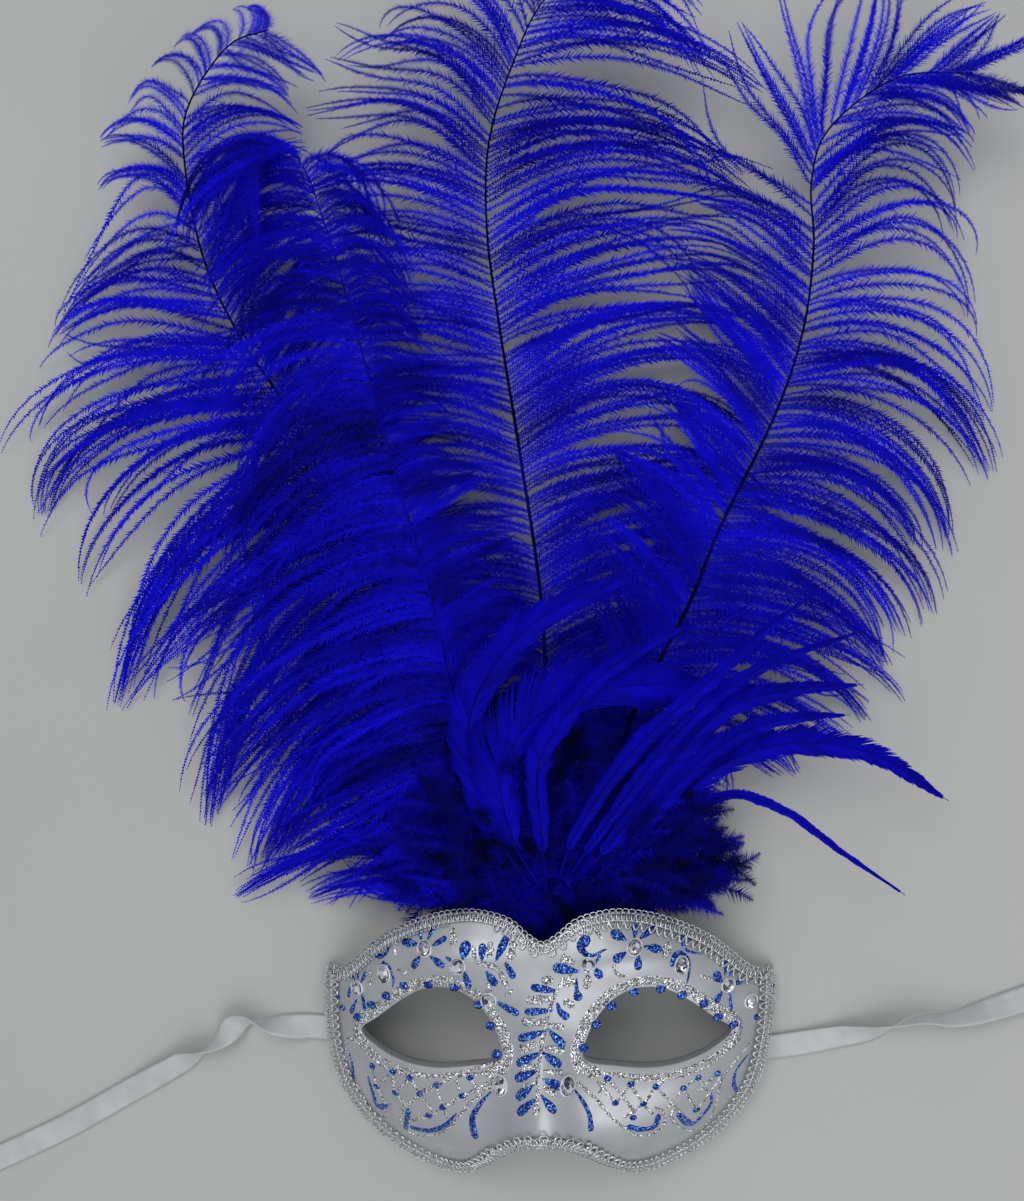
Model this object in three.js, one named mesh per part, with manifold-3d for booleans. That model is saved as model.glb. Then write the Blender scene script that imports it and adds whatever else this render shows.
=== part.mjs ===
// A masquerade half mask: a moulded shell with a silver braid round its edge and cut stones on its face,
// two ribbon ties, and behind the forehead a spray of ostrich plumes, hackle feathers and marabou fluff.
// It lies on its back. Millimetres: x runs across the face from the nose line, y up the forehead,
// and z up from the surface that it lies on. The last lines put the origin under the middle of it all.
import * as THREE from 'three';
import { mergeVertices } from 'three/addons/utils/BufferGeometryUtils.js';
import Module from 'manifold-3d';

const wasm = await Module();
wasm.setup();

// Driving sizes
const wall = 1.6; // thickness of the moulded shell
const gap = 0.4; // left between pieces that are glued or pressed together
const seat = 0.65; // height of a glued-on piece above the true face, whose facets bulge a little
const bowl = { depth: 50, halfWidth: 98, middle: -2, above: 96, below: 75, power: 3, sink: 3 };
const nose = { top: 16, end: -35, height: 12, narrow: 8, wide: 13 };
const brow = { height: 3, x: 36, y: 33, wide: 27, tall: 9 };
const socket = { depth: 5, x: 45, y: 4, wide: 36, tall: 21 };
const cheek = { height: 2.5, x: 46, y: -38, wide: 25, tall: 13 };
const shellGrid = {
  rows: 11,
  columns: [0, 5, 10, 15, 21, 28, 36, 44, 52, 60, 68, 75, 81, 86, 90, 92.6, 94.4],
};
const eyeLip = { width: 1.4, depth: 6, steps: 20, sunk: 0.3 };
const braid = { width: 5.4, overhang: 0.9, thick: 1.1, loop: 0.45, pitch: 6 };
const ribbon = { width: 10, thick: 1, pitch: 8.5, clear: 1.1, lift: 0.1 };
const stone = { height: 1.9, girdle: 0.5, table: 0.55, sides: 8 };
const quill = { radius: 1.7, tip: 0.6, sides: 6, steps: 12, glued: [16, 26, 36], behind: 0.3 };
const lock = { perSide: 7, steps: 4, thick: 1.8, overlap: 0.98, slim: 0.55, lowest: 0.4, last: 0.985 };
const lockWidth = { root: 0.62, middle: 0.5, reach: 1.1, tip: 0.42, thin: 0.4 }; // as parts of its breadth
const barbBend = { turn: 1.1, fall: 1.6 }; // how late a barb turns and how late it sinks
const hackleQuill = { radius: 0.8, bare: 0.43, steps: 6, taper: 0.6, thin: 0.5 };
const vane = { fore: 0.75, full: 0.8 }; // exponents of the leaf-shaped outline
const lobe = { out: 6, tall: 9, steps: 3, sides: 6, from: 0.2, span: 0.72, rise: 3 };
const channel = { sides: 4, clear: 1.1 }; // hole that a quill takes through the fluff
const big = 1200; // side of the block that trims what would reach below the surface

// The mask's edge on one half: the top and bottom edges at a distance x from the nose line
const topEdge = [
  { x: 0, y: 38.6 }, { x: 6, y: 41.5 }, { x: 12, y: 46 }, { x: 18, y: 48.2 }, { x: 28, y: 49.4 },
  { x: 38, y: 48.2 }, { x: 48, y: 45.6 }, { x: 58, y: 41.5 }, { x: 67, y: 36 }, { x: 75, y: 29 },
  { x: 82, y: 22 }, { x: 88, y: 17.8 }, { x: 94.6, y: 17 },
];
const bottomEdge = [
  { x: 0, y: -35 }, { x: 6, y: -37 }, { x: 11, y: -40.5 }, { x: 18, y: -47.5 }, { x: 24, y: -54.5 },
  { x: 32, y: -62.5 }, { x: 43, y: -65 }, { x: 55, y: -61 }, { x: 64.5, y: -56 }, { x: 73, y: -49.5 },
  { x: 81, y: -41 }, { x: 87, y: -32 }, { x: 90.5, y: -21.5 }, { x: 93, y: -10 }, { x: 94.6, y: 3 },
];
// The eye opening of one half, walked from the inner corner over the top and back
const eyeEdge = [
  { x: 16.8, y: -6.5 }, { x: 17.6, y: 1.5 }, { x: 22, y: 9.8 }, { x: 29, y: 16.8 }, { x: 38, y: 19.8 },
  { x: 48, y: 18.2 }, { x: 58, y: 12.2 }, { x: 68, y: 4 }, { x: 75.8, y: -2.8 }, { x: 68, y: -7.8 },
  { x: 57, y: -10.9 }, { x: 44, y: -11.7 }, { x: 30, y: -9.8 },
];
// Cut stones: place on the face, length and width, and how far the length is turned from upright
const stones = [
  { name: 'flower_left', x: -47, y: 35, long: 5.8, wide: 5.8, turn: 0 },
  { name: 'bud_left', x: -78, y: 13.5, long: 5.4, wide: 5.4, turn: 0 },
  { name: 'oval_left', x: -65, y: 22, long: 7.4, wide: 5.4, turn: -8 },
  { name: 'spray_left', x: -33, y: 30, long: 6, wide: 6, turn: 0 },
  { name: 'corner_left', x: -21, y: 16.5, long: 6, wide: 6, turn: 0 },
  { name: 'cheek_left', x: -16, y: -15.5, long: 7.6, wide: 5.6, turn: -12 },
  { name: 'flower_right', x: 36, y: 36.5, long: 5.8, wide: 5.8, turn: 0 },
  { name: 'bud_right', x: 74, y: 15.5, long: 5.4, wide: 5.4, turn: 0 },
  { name: 'oval_right', x: 54.5, y: 27.5, long: 7.4, wide: 5.4, turn: 8 },
  { name: 'spray_right', x: 18, y: 31, long: 5.6, wide: 5.6, turn: 0 },
  { name: 'temple_right', x: 84, y: 6.5, long: 5.4, wide: 5.4, turn: 0 },
  { name: 'cheek_right', x: 10, y: -14.5, long: 7.2, wide: 5.4, turn: 14 },
];
// Ribbon ties: the way of the middle line over the surface, and the roll about it in degrees
const ribbons = [
  {
    name: 'ribbon_left',
    glued: [{ x: -81.5, y: -8.6 }, { x: -84, y: -8.8 }, { x: -86.6, y: -9 }],
    route: [
      { x: -88.6, y: -9.2, z: 0.7, roll: 0 }, { x: -102, y: -8.6, z: 0.7, roll: 6 },
      { x: -117, y: -6.6, z: 3.4, roll: 62 }, { x: -130, y: -5.6, z: 4.6, roll: 140 },
      { x: -142, y: -14.4, z: 4.6, roll: 248 }, { x: -156, y: -23.2, z: 2.4, roll: 336 },
      { x: -179, y: -36, z: 0.8, roll: 358 }, { x: -207, y: -51.6, z: 0.7, roll: 360 },
      { x: -240, y: -67, z: 0.7, roll: 360 },
    ],
  },
  {
    name: 'ribbon_right',
    glued: [{ x: 76.5, y: -18 }, { x: 80, y: -18 }, { x: 83.4, y: -18 }],
    route: [
      { x: 86.4, y: -18, z: 0.7, roll: 0 }, { x: 98, y: -17, z: 0.7, roll: 0 },
      { x: 112, y: -14.8, z: 0.8, roll: 4 }, { x: 124, y: -12.6, z: 1.6, roll: 14 },
      { x: 136, y: -10.6, z: 3.4, roll: 38 }, { x: 147, y: -7, z: 5, roll: 72 },
      { x: 158, y: -4, z: 5.4, roll: 92 }, { x: 171, y: -4, z: 5, roll: 108 },
      { x: 186, y: -0.6, z: 4, roll: 134 }, { x: 209, y: 6, z: 2, roll: 160 },
    ],
  },
];
// Ostrich plumes: the quill's place behind the forehead, the shaft from there to the tip, and how the
// barbs go at stations along it: reach on each side, the heading that their ends hang to (degrees from
// +x), and the height of those ends.
const plumes = [
  {
    name: 'plume_left', rootX: -9, bare: 0.2,
    shaft: [
      { x: -24, y: 62, z: 26 }, { x: -42, y: 110, z: 16 }, { x: -56, y: 145, z: 13.5 },
      { x: -73, y: 180, z: 12.5 }, { x: -108, y: 251, z: 12 }, { x: -127, y: 280, z: 12.5 },
      { x: -143, y: 315, z: 15 }, { x: -148.5, y: 355, z: 22 }, { x: -144, y: 374, z: 28 },
      { x: -126, y: 394, z: 35 }, { x: -109, y: 399, z: 38 },
    ],
    barbs: [
      { at: 0.2, left: 84, hangLeft: 256, leftZ: 2, right: 16, hangRight: 60, rightZ: 12, leave: 46 },
      { at: 0.28, left: 110, hangLeft: 244, leftZ: 0.3, right: 24, hangRight: 60, rightZ: 8, leave: 46 },
      { at: 0.41, left: 124, hangLeft: 246, leftZ: 0.3, right: 44, hangRight: 40, rightZ: 4, leave: 54 },
      { at: 0.59, left: 118, hangLeft: 252, leftZ: 0.3, right: 58, hangRight: 26, rightZ: 2, leave: 60 },
      { at: 0.7, left: 94, hangLeft: 248, leftZ: 1, right: 58, hangRight: 12, rightZ: 3, leave: 56 },
      { at: 0.77, left: 60, hangLeft: 228, leftZ: 6, right: 54, hangRight: 0, rightZ: 6, leave: 48 },
      { at: 0.86, left: 36, hangLeft: 212, leftZ: 18, right: 48, hangRight: -24, rightZ: 12, leave: 40 },
      { at: 1, left: 14, hangLeft: 196, leftZ: 34, right: 26, hangRight: -50, rightZ: 30, leave: 26 },
    ],
  },
  {
    name: 'plume_centre', rootX: 2.6, bare: 0.27,
    shaft: [
      { x: 1.4, y: 62, z: 21 }, { x: 0, y: 103, z: 15 }, { x: -1, y: 142, z: 13 }, { x: -4, y: 182, z: 12 },
      { x: -13, y: 241, z: 12 }, { x: -21, y: 291, z: 12.5 }, { x: -25.5, y: 328, z: 14 },
      { x: -24, y: 363, z: 18 }, { x: -12, y: 394, z: 27 }, { x: 0, y: 413, z: 34 }, { x: 22, y: 429, z: 40 },
    ],
    barbs: [
      { at: 0.25, left: 20, hangLeft: 200, leftZ: 17, right: 62, hangRight: -10, rightZ: 0.4, leave: 48 },
      { at: 0.38, left: 58, hangLeft: 204, leftZ: 19, right: 92, hangRight: -24, rightZ: 0.3, leave: 60 },
      { at: 0.52, left: 70, hangLeft: 200, leftZ: 18, right: 104, hangRight: -24, rightZ: 0.3, leave: 64 },
      { at: 0.66, left: 76, hangLeft: 202, leftZ: 18, right: 106, hangRight: -24, rightZ: 0.4, leave: 64 },
      { at: 0.8, left: 72, hangLeft: 208, leftZ: 22, right: 102, hangRight: -28, rightZ: 7, leave: 60 },
      { at: 0.91, left: 60, hangLeft: 206, leftZ: 28, right: 78, hangRight: -36, rightZ: 18, leave: 48 },
      { at: 1, left: 34, hangLeft: 190, leftZ: 36, right: 36, hangRight: -48, rightZ: 32, leave: 28 },
    ],
  },
  {
    name: 'plume_right', rootX: 8.6, bare: 0.27,
    shaft: [
      { x: 14, y: 62, z: 29 }, { x: 25, y: 98, z: 26 }, { x: 38, y: 133, z: 25 },
      { x: 58, y: 171, z: 24 }, { x: 71, y: 203, z: 23 }, { x: 93, y: 248, z: 23 },
      { x: 105, y: 284, z: 22.5 }, { x: 109, y: 317, z: 24 }, { x: 107.5, y: 342, z: 28 },
      { x: 114, y: 362, z: 33 }, { x: 140, y: 380, z: 38 }, { x: 170, y: 382, z: 38 },
    ],
    barbs: [
      { at: 0.27, left: 40, hangLeft: 118, leftZ: 22, right: 76, hangRight: -46, rightZ: 1, leave: 46 },
      { at: 0.39, left: 50, hangLeft: 138, leftZ: 21, right: 92, hangRight: -60, rightZ: 0.3, leave: 54 },
      { at: 0.58, left: 60, hangLeft: 160, leftZ: 20, right: 100, hangRight: -76, rightZ: 0.3, leave: 60 },
      { at: 0.7, left: 60, hangLeft: 152, leftZ: 22, right: 96, hangRight: -72, rightZ: 0.4, leave: 58 },
      { at: 0.8, left: 60, hangLeft: 124, leftZ: 30, right: 82, hangRight: -50, rightZ: 8, leave: 44 },
      { at: 0.88, left: 54, hangLeft: 84, leftZ: 36, right: 62, hangRight: -30, rightZ: 22, leave: 28 },
      { at: 1, left: 34, hangLeft: 30, leftZ: 38, right: 32, hangRight: -18, rightZ: 34, leave: 14 },
    ],
  },
  {
    name: 'plume_curled', rootX: -3.2, bare: 0.23,
    shaft: [
      { x: -13, y: 62, z: 31 }, { x: -26, y: 100, z: 30 }, { x: -38, y: 138, z: 30 },
      { x: -46, y: 173, z: 30 }, { x: -57, y: 213, z: 31 }, { x: -68, y: 254, z: 33 },
      { x: -77, y: 290, z: 38 }, { x: -85, y: 320, z: 45 }, { x: -92, y: 341, z: 52 },
      { x: -103, y: 346, z: 56 }, { x: -112, y: 336, z: 55 },
    ],
    barbs: [
      { at: 0.27, left: 96, hangLeft: 222, leftZ: 17, right: 44, hangRight: 30, rightZ: 26, leave: 46 },
      { at: 0.45, left: 116, hangLeft: 236, leftZ: 17, right: 50, hangRight: 15, rightZ: 24, leave: 54 },
      { at: 0.58, left: 108, hangLeft: 248, leftZ: 18, right: 52, hangRight: -2, rightZ: 24, leave: 54 },
      { at: 0.7, left: 82, hangLeft: 258, leftZ: 22, right: 56, hangRight: -34, rightZ: 25, leave: 50 },
      { at: 0.8, left: 58, hangLeft: 262, leftZ: 28, right: 60, hangRight: -64, rightZ: 28, leave: 46 },
      { at: 0.89, left: 44, hangLeft: 256, leftZ: 36, right: 60, hangRight: -88, rightZ: 34, leave: 42 },
      { at: 1, left: 32, hangLeft: 250, leftZ: 47, right: 44, hangRight: -100, rightZ: 44, leave: 34 },
    ],
  },
];
// Hackle feathers: a bare quill from the fluff, then a slim vane of the given width to its pointed tip
const hackles = [
  {
    name: 'hackle_long', width: 15,
    way: [
      { x: -6, y: 60, z: 35.5 }, { x: -22, y: 90, z: 47 }, { x: -28, y: 126, z: 49 },
      { x: -12, y: 156, z: 49 }, { x: 12, y: 173, z: 48 }, { x: 40, y: 184, z: 47 },
    ],
  },
  {
    name: 'hackle_broad', width: 24,
    way: [
      { x: -2.6, y: 61, z: 36.5 }, { x: -12, y: 82, z: 47 }, { x: -15, y: 108, z: 50.5 },
      { x: 2, y: 131, z: 51 }, { x: 34, y: 140, z: 50 }, { x: 68, y: 138, z: 48 },
    ],
  },
  {
    name: 'hackle_mid', width: 10,
    way: [
      { x: 1, y: 60, z: 34 }, { x: 0, y: 84, z: 50 }, { x: 0, y: 112, z: 54 },
      { x: 18, y: 139, z: 54 }, { x: 38, y: 154, z: 53 }, { x: 58, y: 164, z: 52 },
    ],
  },
  {
    name: 'hackle_spike', width: 7,
    way: [
      { x: 5, y: 60, z: 34 }, { x: 14, y: 84, z: 51 }, { x: 36, y: 116, z: 56.5 },
      { x: 66, y: 143, z: 55 }, { x: 87, y: 162, z: 53 }, { x: 107, y: 177, z: 51 },
    ],
  },
  {
    name: 'hackle_dart', width: 6.5,
    way: [
      { x: 8, y: 60, z: 33 }, { x: 22, y: 82, z: 49 }, { x: 50, y: 119, z: 52.5 },
      { x: 75, y: 141, z: 51 }, { x: 100, y: 153, z: 49 }, { x: 125, y: 161, z: 46 },
    ],
  },
  {
    name: 'hackle_blade', width: 11,
    way: [
      { x: 12, y: 60, z: 34 }, { x: 28, y: 80, z: 46 }, { x: 52, y: 112, z: 48 },
      { x: 72, y: 131, z: 46 }, { x: 98, y: 138, z: 44 }, { x: 126, y: 140, z: 42 },
    ],
  },
  {
    name: 'hackle_side', width: 9,
    way: [
      { x: 18, y: 60, z: 34.5 }, { x: 35, y: 79, z: 43 }, { x: 58, y: 107, z: 45 },
      { x: 80, y: 122, z: 43.5 }, { x: 100, y: 127, z: 42.5 }, { x: 121, y: 128, z: 41 },
    ],
  },
  {
    name: 'hackle_droop', width: 13,
    way: [
      { x: 23, y: 60, z: 32 }, { x: 40, y: 77, z: 38 }, { x: 66, y: 105, z: 38 },
      { x: 96, y: 116, z: 37 }, { x: 130, y: 112, z: 34 }, { x: 163, y: 92, z: 28 },
    ],
  },
  {
    name: 'hackle_thin', width: 4,
    way: [
      { x: 26, y: 58, z: 27 }, { x: 42, y: 72, z: 33 }, { x: 70, y: 94, z: 33 },
      { x: 95, y: 89, z: 31 }, { x: 120, y: 71, z: 26 }, { x: 148, y: 51, z: 16 },
    ],
  },
];
// Marabou fluff: a head round the quills, and soft lobes that leave it, heading in degrees from +x
const tuftHead = { x: 5, y: 53, z: 29, wide: 28, deep: 16, high: 8 };
const tuftLobes = [
  { heading: 170, reach: 60, startZ: 28, endZ: 20, wide: 22 },
  { heading: 145, reach: 66, startZ: 34, endZ: 29, wide: 29 },
  { heading: 119, reach: 63, startZ: 38, endZ: 40, wide: 29 },
  { heading: 92, reach: 58, startZ: 39, endZ: 44, wide: 29 },
  { heading: 66, reach: 60, startZ: 38, endZ: 42, wide: 29 },
  { heading: 41, reach: 66, startZ: 35, endZ: 37, wide: 29 },
  { heading: 15, reach: 70, startZ: 31, endZ: 26, wide: 26 },
  { heading: 90, reach: 54, startZ: 21, endZ: 9, wide: 52 },
];

const finishes = {
  shell: { color: 0xd9dbde, roughness: 0.32, metalness: 0.55 },
  braid: { color: 0xc9ccd2, roughness: 0.25, metalness: 0.9 },
  stone: { color: 0xeef2f6, roughness: 0.08, metalness: 0.1 },
  ribbon: { color: 0xe9ebef, roughness: 0.4, metalness: 0 },
  feather: { color: 0x1206b0, roughness: 0.7, metalness: 0 },
};

// Small helpers

// Value of one column of a table at a place along its key column, through smooth cubic pieces
function readTable(table, key, column, at) {
  const last = table.length - 1;
  const clamped = THREE.MathUtils.clamp(at, table[0][key], table[last][key]);
  let i = 0;
  while (i < last - 1 && clamped > table[i + 1][key]) i += 1;
  const slope = (j) => {
    const a = table[Math.max(j - 1, 0)];
    const b = table[Math.min(j + 1, last)];
    return (b[column] - a[column]) / (b[key] - a[key]);
  };
  const span = table[i + 1][key] - table[i][key];
  const t = (clamped - table[i][key]) / span;
  const t2 = t * t;
  const t3 = t2 * t;
  return (2 * t3 - 3 * t2 + 1) * table[i][column] + (t3 - 2 * t2 + t) * span * slope(i)
    + (3 * t2 - 2 * t3) * table[i + 1][column] + (t3 - t2) * span * slope(i + 1);
}

const bump = (across, up) => Math.exp(-(across * across + up * up));

// Height of the face over a point: a domed bowl with a nose, brows and cheeks, sunk round the eyes
function faceHeight(x, y) {
  const up = y - bowl.middle;
  const out = Math.hypot(x / bowl.halfWidth, up / (up > 0 ? bowl.above : bowl.below));
  const side = Math.abs(x);
  const down = THREE.MathUtils.smoothstep(nose.top - y, 0, nose.top - nose.end);
  const noseWidth = THREE.MathUtils.lerp(nose.narrow, nose.wide, down);
  const sunk = ((side - socket.x) / socket.wide) ** 2 + ((y - socket.y) / socket.tall) ** 2;
  return bowl.depth * (1 - out ** bowl.power) - bowl.sink
    + nose.height * down * bump(x / noseWidth, 0)
    + brow.height * bump((side - brow.x) / brow.wide, (y - brow.y) / brow.tall)
    + cheek.height * bump((side - cheek.x) / cheek.wide, (y - cheek.y) / cheek.tall)
    - socket.depth * Math.exp(-sunk * sunk);
}

function faceNormal(x, y) {
  const h = 0.5;
  return new THREE.Vector3(
    (faceHeight(x - h, y) - faceHeight(x + h, y)) / (2 * h),
    (faceHeight(x, y - h) - faceHeight(x, y + h)) / (2 * h),
    1,
  ).normalize();
}

// The point at a height above the face's front, measured square to it
function onFace(x, y, above = 0) {
  return new THREE.Vector3(x, y, faceHeight(x, y)).addScaledVector(faceNormal(x, y), above);
}

// A closed body through rings of points: open-ended with flat ends, or joined end to end
function loft(rings, joined = false) {
  const n = rings[0].length;
  const positions = rings.flat().flatMap((p) => [p.x, p.y, p.z]);
  const index = [];
  const quad = (a, b, c, d) => index.push(a, b, c, a, c, d);
  const spans = joined ? rings.length : rings.length - 1;
  for (let i = 0; i < spans; i += 1) {
    const here = i * n;
    const next = ((i + 1) % rings.length) * n;
    for (let j = 0; j < n; j += 1) {
      const k = (j + 1) % n;
      quad(here + j, here + k, next + k, next + j);
    }
  }
  if (!joined) {
    const end = (rings.length - 1) * n;
    for (let j = 0; j + 1 < n - 1 - j; j += 1) {
      const far = n - 1 - j;
      if (j + 1 === far - 1) {
        index.push(far, j + 1, j);
        index.push(end + j, end + j + 1, end + far);
      } else {
        quad(j, far, far - 1, j + 1);
        quad(end + j, end + j + 1, end + far - 1, end + far);
      }
    }
  }
  const geometry = new THREE.BufferGeometry();
  geometry.setAttribute('position', new THREE.Float32BufferAttribute(positions, 3));
  geometry.setIndex(index);
  return solidOf(geometry);
}

function solidOf(source) {
  const geometry = source.clone();
  geometry.deleteAttribute('normal');
  geometry.deleteAttribute('uv');
  const merged = mergeVertices(geometry, 1e-4);
  const make = (triVerts) => new wasm.Manifold(new wasm.Mesh({
    numProp: 3,
    vertProperties: Float32Array.from(merged.attributes.position.array),
    triVerts,
  }));
  const triangles = Uint32Array.from(merged.index.array);
  const made = make(triangles);
  return made.volume() > 0 ? made : make(triangles.reverse());
}

function geometryOf(solid) {
  const { numProp, numVert, vertProperties, triVerts } = solid.getMesh();
  const points = new Float32Array(numVert * 3);
  for (let i = 0; i < numVert; i += 1) {
    points.set(vertProperties.subarray(i * numProp, i * numProp + 3), i * 3);
  }
  const geometry = new THREE.BufferGeometry();
  geometry.setAttribute('position', new THREE.BufferAttribute(points, 3));
  geometry.setIndex(new THREE.BufferAttribute(triVerts, 1));
  return geometry;
}

// Block below the surface that the mask lies on
const underFloor = solidOf(new THREE.BoxGeometry(big, big, big).translate(0, 0, -big / 2));
const aboveFloor = (solid) => solid.subtract(underFloor);

function curveThrough(points) {
  const places = points.map((p) => new THREE.Vector3(p.x, p.y, p.z));
  return new THREE.CatmullRomCurve3(places, false, 'catmullrom', 0.5);
}

// A round or oval ring about a point on a curve, flat across the heading and tall in z
function ringAt(centre, heading, wide, tall, sides) {
  const across = new THREE.Vector3(-heading.y, heading.x, 0).normalize();
  const up = new THREE.Vector3().crossVectors(heading, across).normalize();
  const turn = sides === 4 ? Math.PI / 4 : 0;
  const stretch = sides === 4 ? Math.SQRT2 : 1;
  return Array.from({ length: sides }, (_, i) => {
    const a = turn + (i * 2 * Math.PI) / sides;
    return centre.clone()
      .addScaledVector(across, Math.cos(a) * wide * 0.5 * stretch)
      .addScaledVector(up, Math.sin(a) * tall * 0.5 * stretch);
  });
}

// A tube whose radius runs evenly from one end to the other, which can stop after its first few steps
function taperedTube(curve, from, to, sides, steps, made = steps) {
  const rings = Array.from({ length: made + 1 }, (_, i) => {
    const t = i / steps;
    const wide = 2 * THREE.MathUtils.lerp(from, to, t);
    return ringAt(curve.getPointAt(t), curve.getTangentAt(t), wide, wide, sides);
  });
  return loft(rings);
}

// Sub-parts

// The face between its bottom and top edges, with a front and a back skin set off from the true face
function faceSlab(front, back, grow) {
  const half = shellGrid.columns;
  const last = half.length - 1;
  const across = [...half.slice(1).map((x) => -x).reverse(), ...half];
  const rings = across.map((column) => {
    const x = Math.abs(column) === half[last] ? column + grow * Math.sign(column) : column;
    const low = readTable(bottomEdge, 'x', 'y', Math.abs(x)) - grow;
    const high = readTable(topEdge, 'x', 'y', Math.abs(x)) + grow;
    const rows = Array.from({ length: shellGrid.rows + 1 }, (_, j) => (
      THREE.MathUtils.lerp(low, high, j / shellGrid.rows)));
    const frontSide = rows.map((y) => onFace(x, y, front));
    const backSide = rows.map((y) => onFace(x, y, -back)).reverse();
    return [...frontSide, ...backSide];
  });
  return loft(rings);
}

function eyeCurve(side) {
  const points = eyeEdge.map((p) => new THREE.Vector3(p.x * side, p.y, 0));
  return new THREE.CatmullRomCurve3(points, true, 'catmullrom', 0.5);
}

function eyeOpening(side) {
  const outline = new THREE.Shape(eyeCurve(side).getPoints(eyeLip.steps).slice(0, -1)
    .map((p) => new THREE.Vector2(p.x, p.y)));
  const prism = new THREE.ExtrudeGeometry(outline, { depth: 2 * bowl.depth, bevelEnabled: false });
  return solidOf(prism.translate(0, 0, -1));
}

// The lip that turns in behind the shell round an eye opening
function eyeRim(side) {
  const curve = eyeCurve(side);
  const rings = Array.from({ length: eyeLip.steps }, (_, i) => {
    const inner = curve.getPoint(i / eyeLip.steps);
    const way = curve.getTangent(i / eyeLip.steps);
    const outer = inner.clone().addScaledVector(new THREE.Vector3(-way.y, way.x, 0), side * eyeLip.width);
    const top = (p) => new THREE.Vector3(p.x, p.y, faceHeight(p.x, p.y) - eyeLip.sunk);
    const foot = (p) => new THREE.Vector3(p.x, p.y, faceHeight(p.x, p.y) - eyeLip.depth);
    return [top(inner), top(outer), foot(outer), foot(inner)];
  });
  return loft(rings, true);
}

function maskShell() {
  let shell = faceSlab(0, wall, 0);
  for (const side of [-1, 1]) {
    shell = shell.subtract(eyeOpening(side)).add(eyeRim(side));
  }
  return aboveFloor(shell);
}

// The mask's whole edge seen from the front, walked clockwise from the left temple
function maskOutline() {
  const half = (table) => table.map((row) => new THREE.Vector3(row.x, row.y, 0));
  const mirrored = (table) => half(table).slice(1).reverse().map((p) => p.setX(-p.x));
  const top = [...mirrored(topEdge), ...half(topEdge)];
  const bottom = [...mirrored(bottomEdge), ...half(bottomEdge)].reverse();
  return new THREE.CatmullRomCurve3([...top, ...bottom], true, 'catmullrom', 0.5);
}

// A flat woven band laid on the face along its edge, its outer loops in and out by turns
function edgeBraid() {
  const outline = maskOutline();
  const steps = 2 * Math.round(outline.getLength() / braid.pitch / 2);
  const rings = Array.from({ length: steps }, (_, i) => {
    const edge = outline.getPointAt(i / steps);
    const way = outline.getTangentAt(i / steps);
    const inward = new THREE.Vector3(way.y, -way.x, 0);
    const rise = faceHeight(edge.x + inward.x, edge.y + inward.y) - faceHeight(edge.x, edge.y);
    inward.setZ(rise).normalize();
    const normal = faceNormal(edge.x, edge.y);
    const scallop = i % 2 ? braid.loop : -braid.loop;
    const corner = (along, above) => {
      const flat = edge.clone().addScaledVector(inward, along);
      return new THREE.Vector3(flat.x, flat.y, faceHeight(flat.x, flat.y)).addScaledVector(normal, above);
    };
    const outer = -braid.overhang - scallop;
    const inner = braid.width - braid.overhang + scallop;
    const top = seat + braid.thick;
    return [corner(outer, seat), corner(inner, seat), corner(inner, top), corner(outer, top)];
  });
  return aboveFloor(loft(rings, true));
}

// A flat-backed brilliant: girdle, crown facets and a table
function cutStone(row) {
  const profile = [
    [0, 0], [0.5, 0], [0.5, stone.girdle], [0.5 * stone.table, stone.height], [0, stone.height],
  ].map(([r, z]) => new THREE.Vector2(r, z));
  const round = new THREE.LatheGeometry(profile, stone.sides).rotateX(Math.PI / 2);
  return round.scale(row.wide, row.long, 1).rotateZ(THREE.MathUtils.degToRad(row.turn));
}

function placeOnFace(mesh, row) {
  mesh.position.copy(onFace(row.x, row.y, seat));
  mesh.quaternion.setFromUnitVectors(new THREE.Vector3(0, 0, 1), faceNormal(row.x, row.y));
}

// A flat tie: glued rows lie behind the shell, then it rolls about its middle line over the surface
function ribbonTie({ glued, route }) {
  const half = ribbon.width / 2;
  const gluedRings = glued.map(({ x, y }) => {
    const near = -(wall + ribbon.clear);
    const far = near - ribbon.thick;
    return [
      onFace(x, y - half, far), onFace(x, y + half, far),
      onFace(x, y + half, near), onFace(x, y - half, near),
    ];
  });
  const curve = curveThrough(route);
  const steps = Math.round(curve.getLength() / ribbon.pitch);
  const outward = Math.sign(route[0].x);
  const freeRings = Array.from({ length: steps + 1 }, (_, i) => {
    const t = i / steps;
    const centre = curve.getPoint(t);
    const way = curve.getTangent(t);
    const flat = new THREE.Vector3(-way.y, way.x, 0).normalize().multiplyScalar(outward);
    const place = t * (route.length - 1);
    const before = route[Math.floor(place)];
    const after = route[Math.ceil(place)];
    const roll = THREE.MathUtils.lerp(before.roll, after.roll, place % 1);
    flat.applyAxisAngle(way, THREE.MathUtils.degToRad(roll));
    const lean = Math.abs(flat.z);
    const lowest = half * lean + 0.5 * ribbon.thick * Math.sqrt(1 - lean * lean) + ribbon.lift;
    centre.setZ(Math.max(centre.z, lowest));
    const up = new THREE.Vector3().crossVectors(way, flat).normalize().multiplyScalar(outward);
    return [[-1, -1], [1, -1], [1, 1], [-1, 1]].map(([a, b]) => centre.clone()
      .addScaledVector(flat, a * half).addScaledVector(up, (b * ribbon.thick) / 2));
  });
  return loft([...gluedRings, ...freeRings]);
}

// The plume's middle line, from the glued quill behind the forehead to the tip
function plumeCurve(plume, radius = quill.radius) {
  const glued = quill.glued.map((y) => {
    const inner = onFace(plume.rootX, y, -(wall + gap + radius + quill.behind));
    return { x: plume.rootX, y, z: inner.z };
  });
  return curveThrough([...glued, ...plume.shaft]);
}

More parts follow.
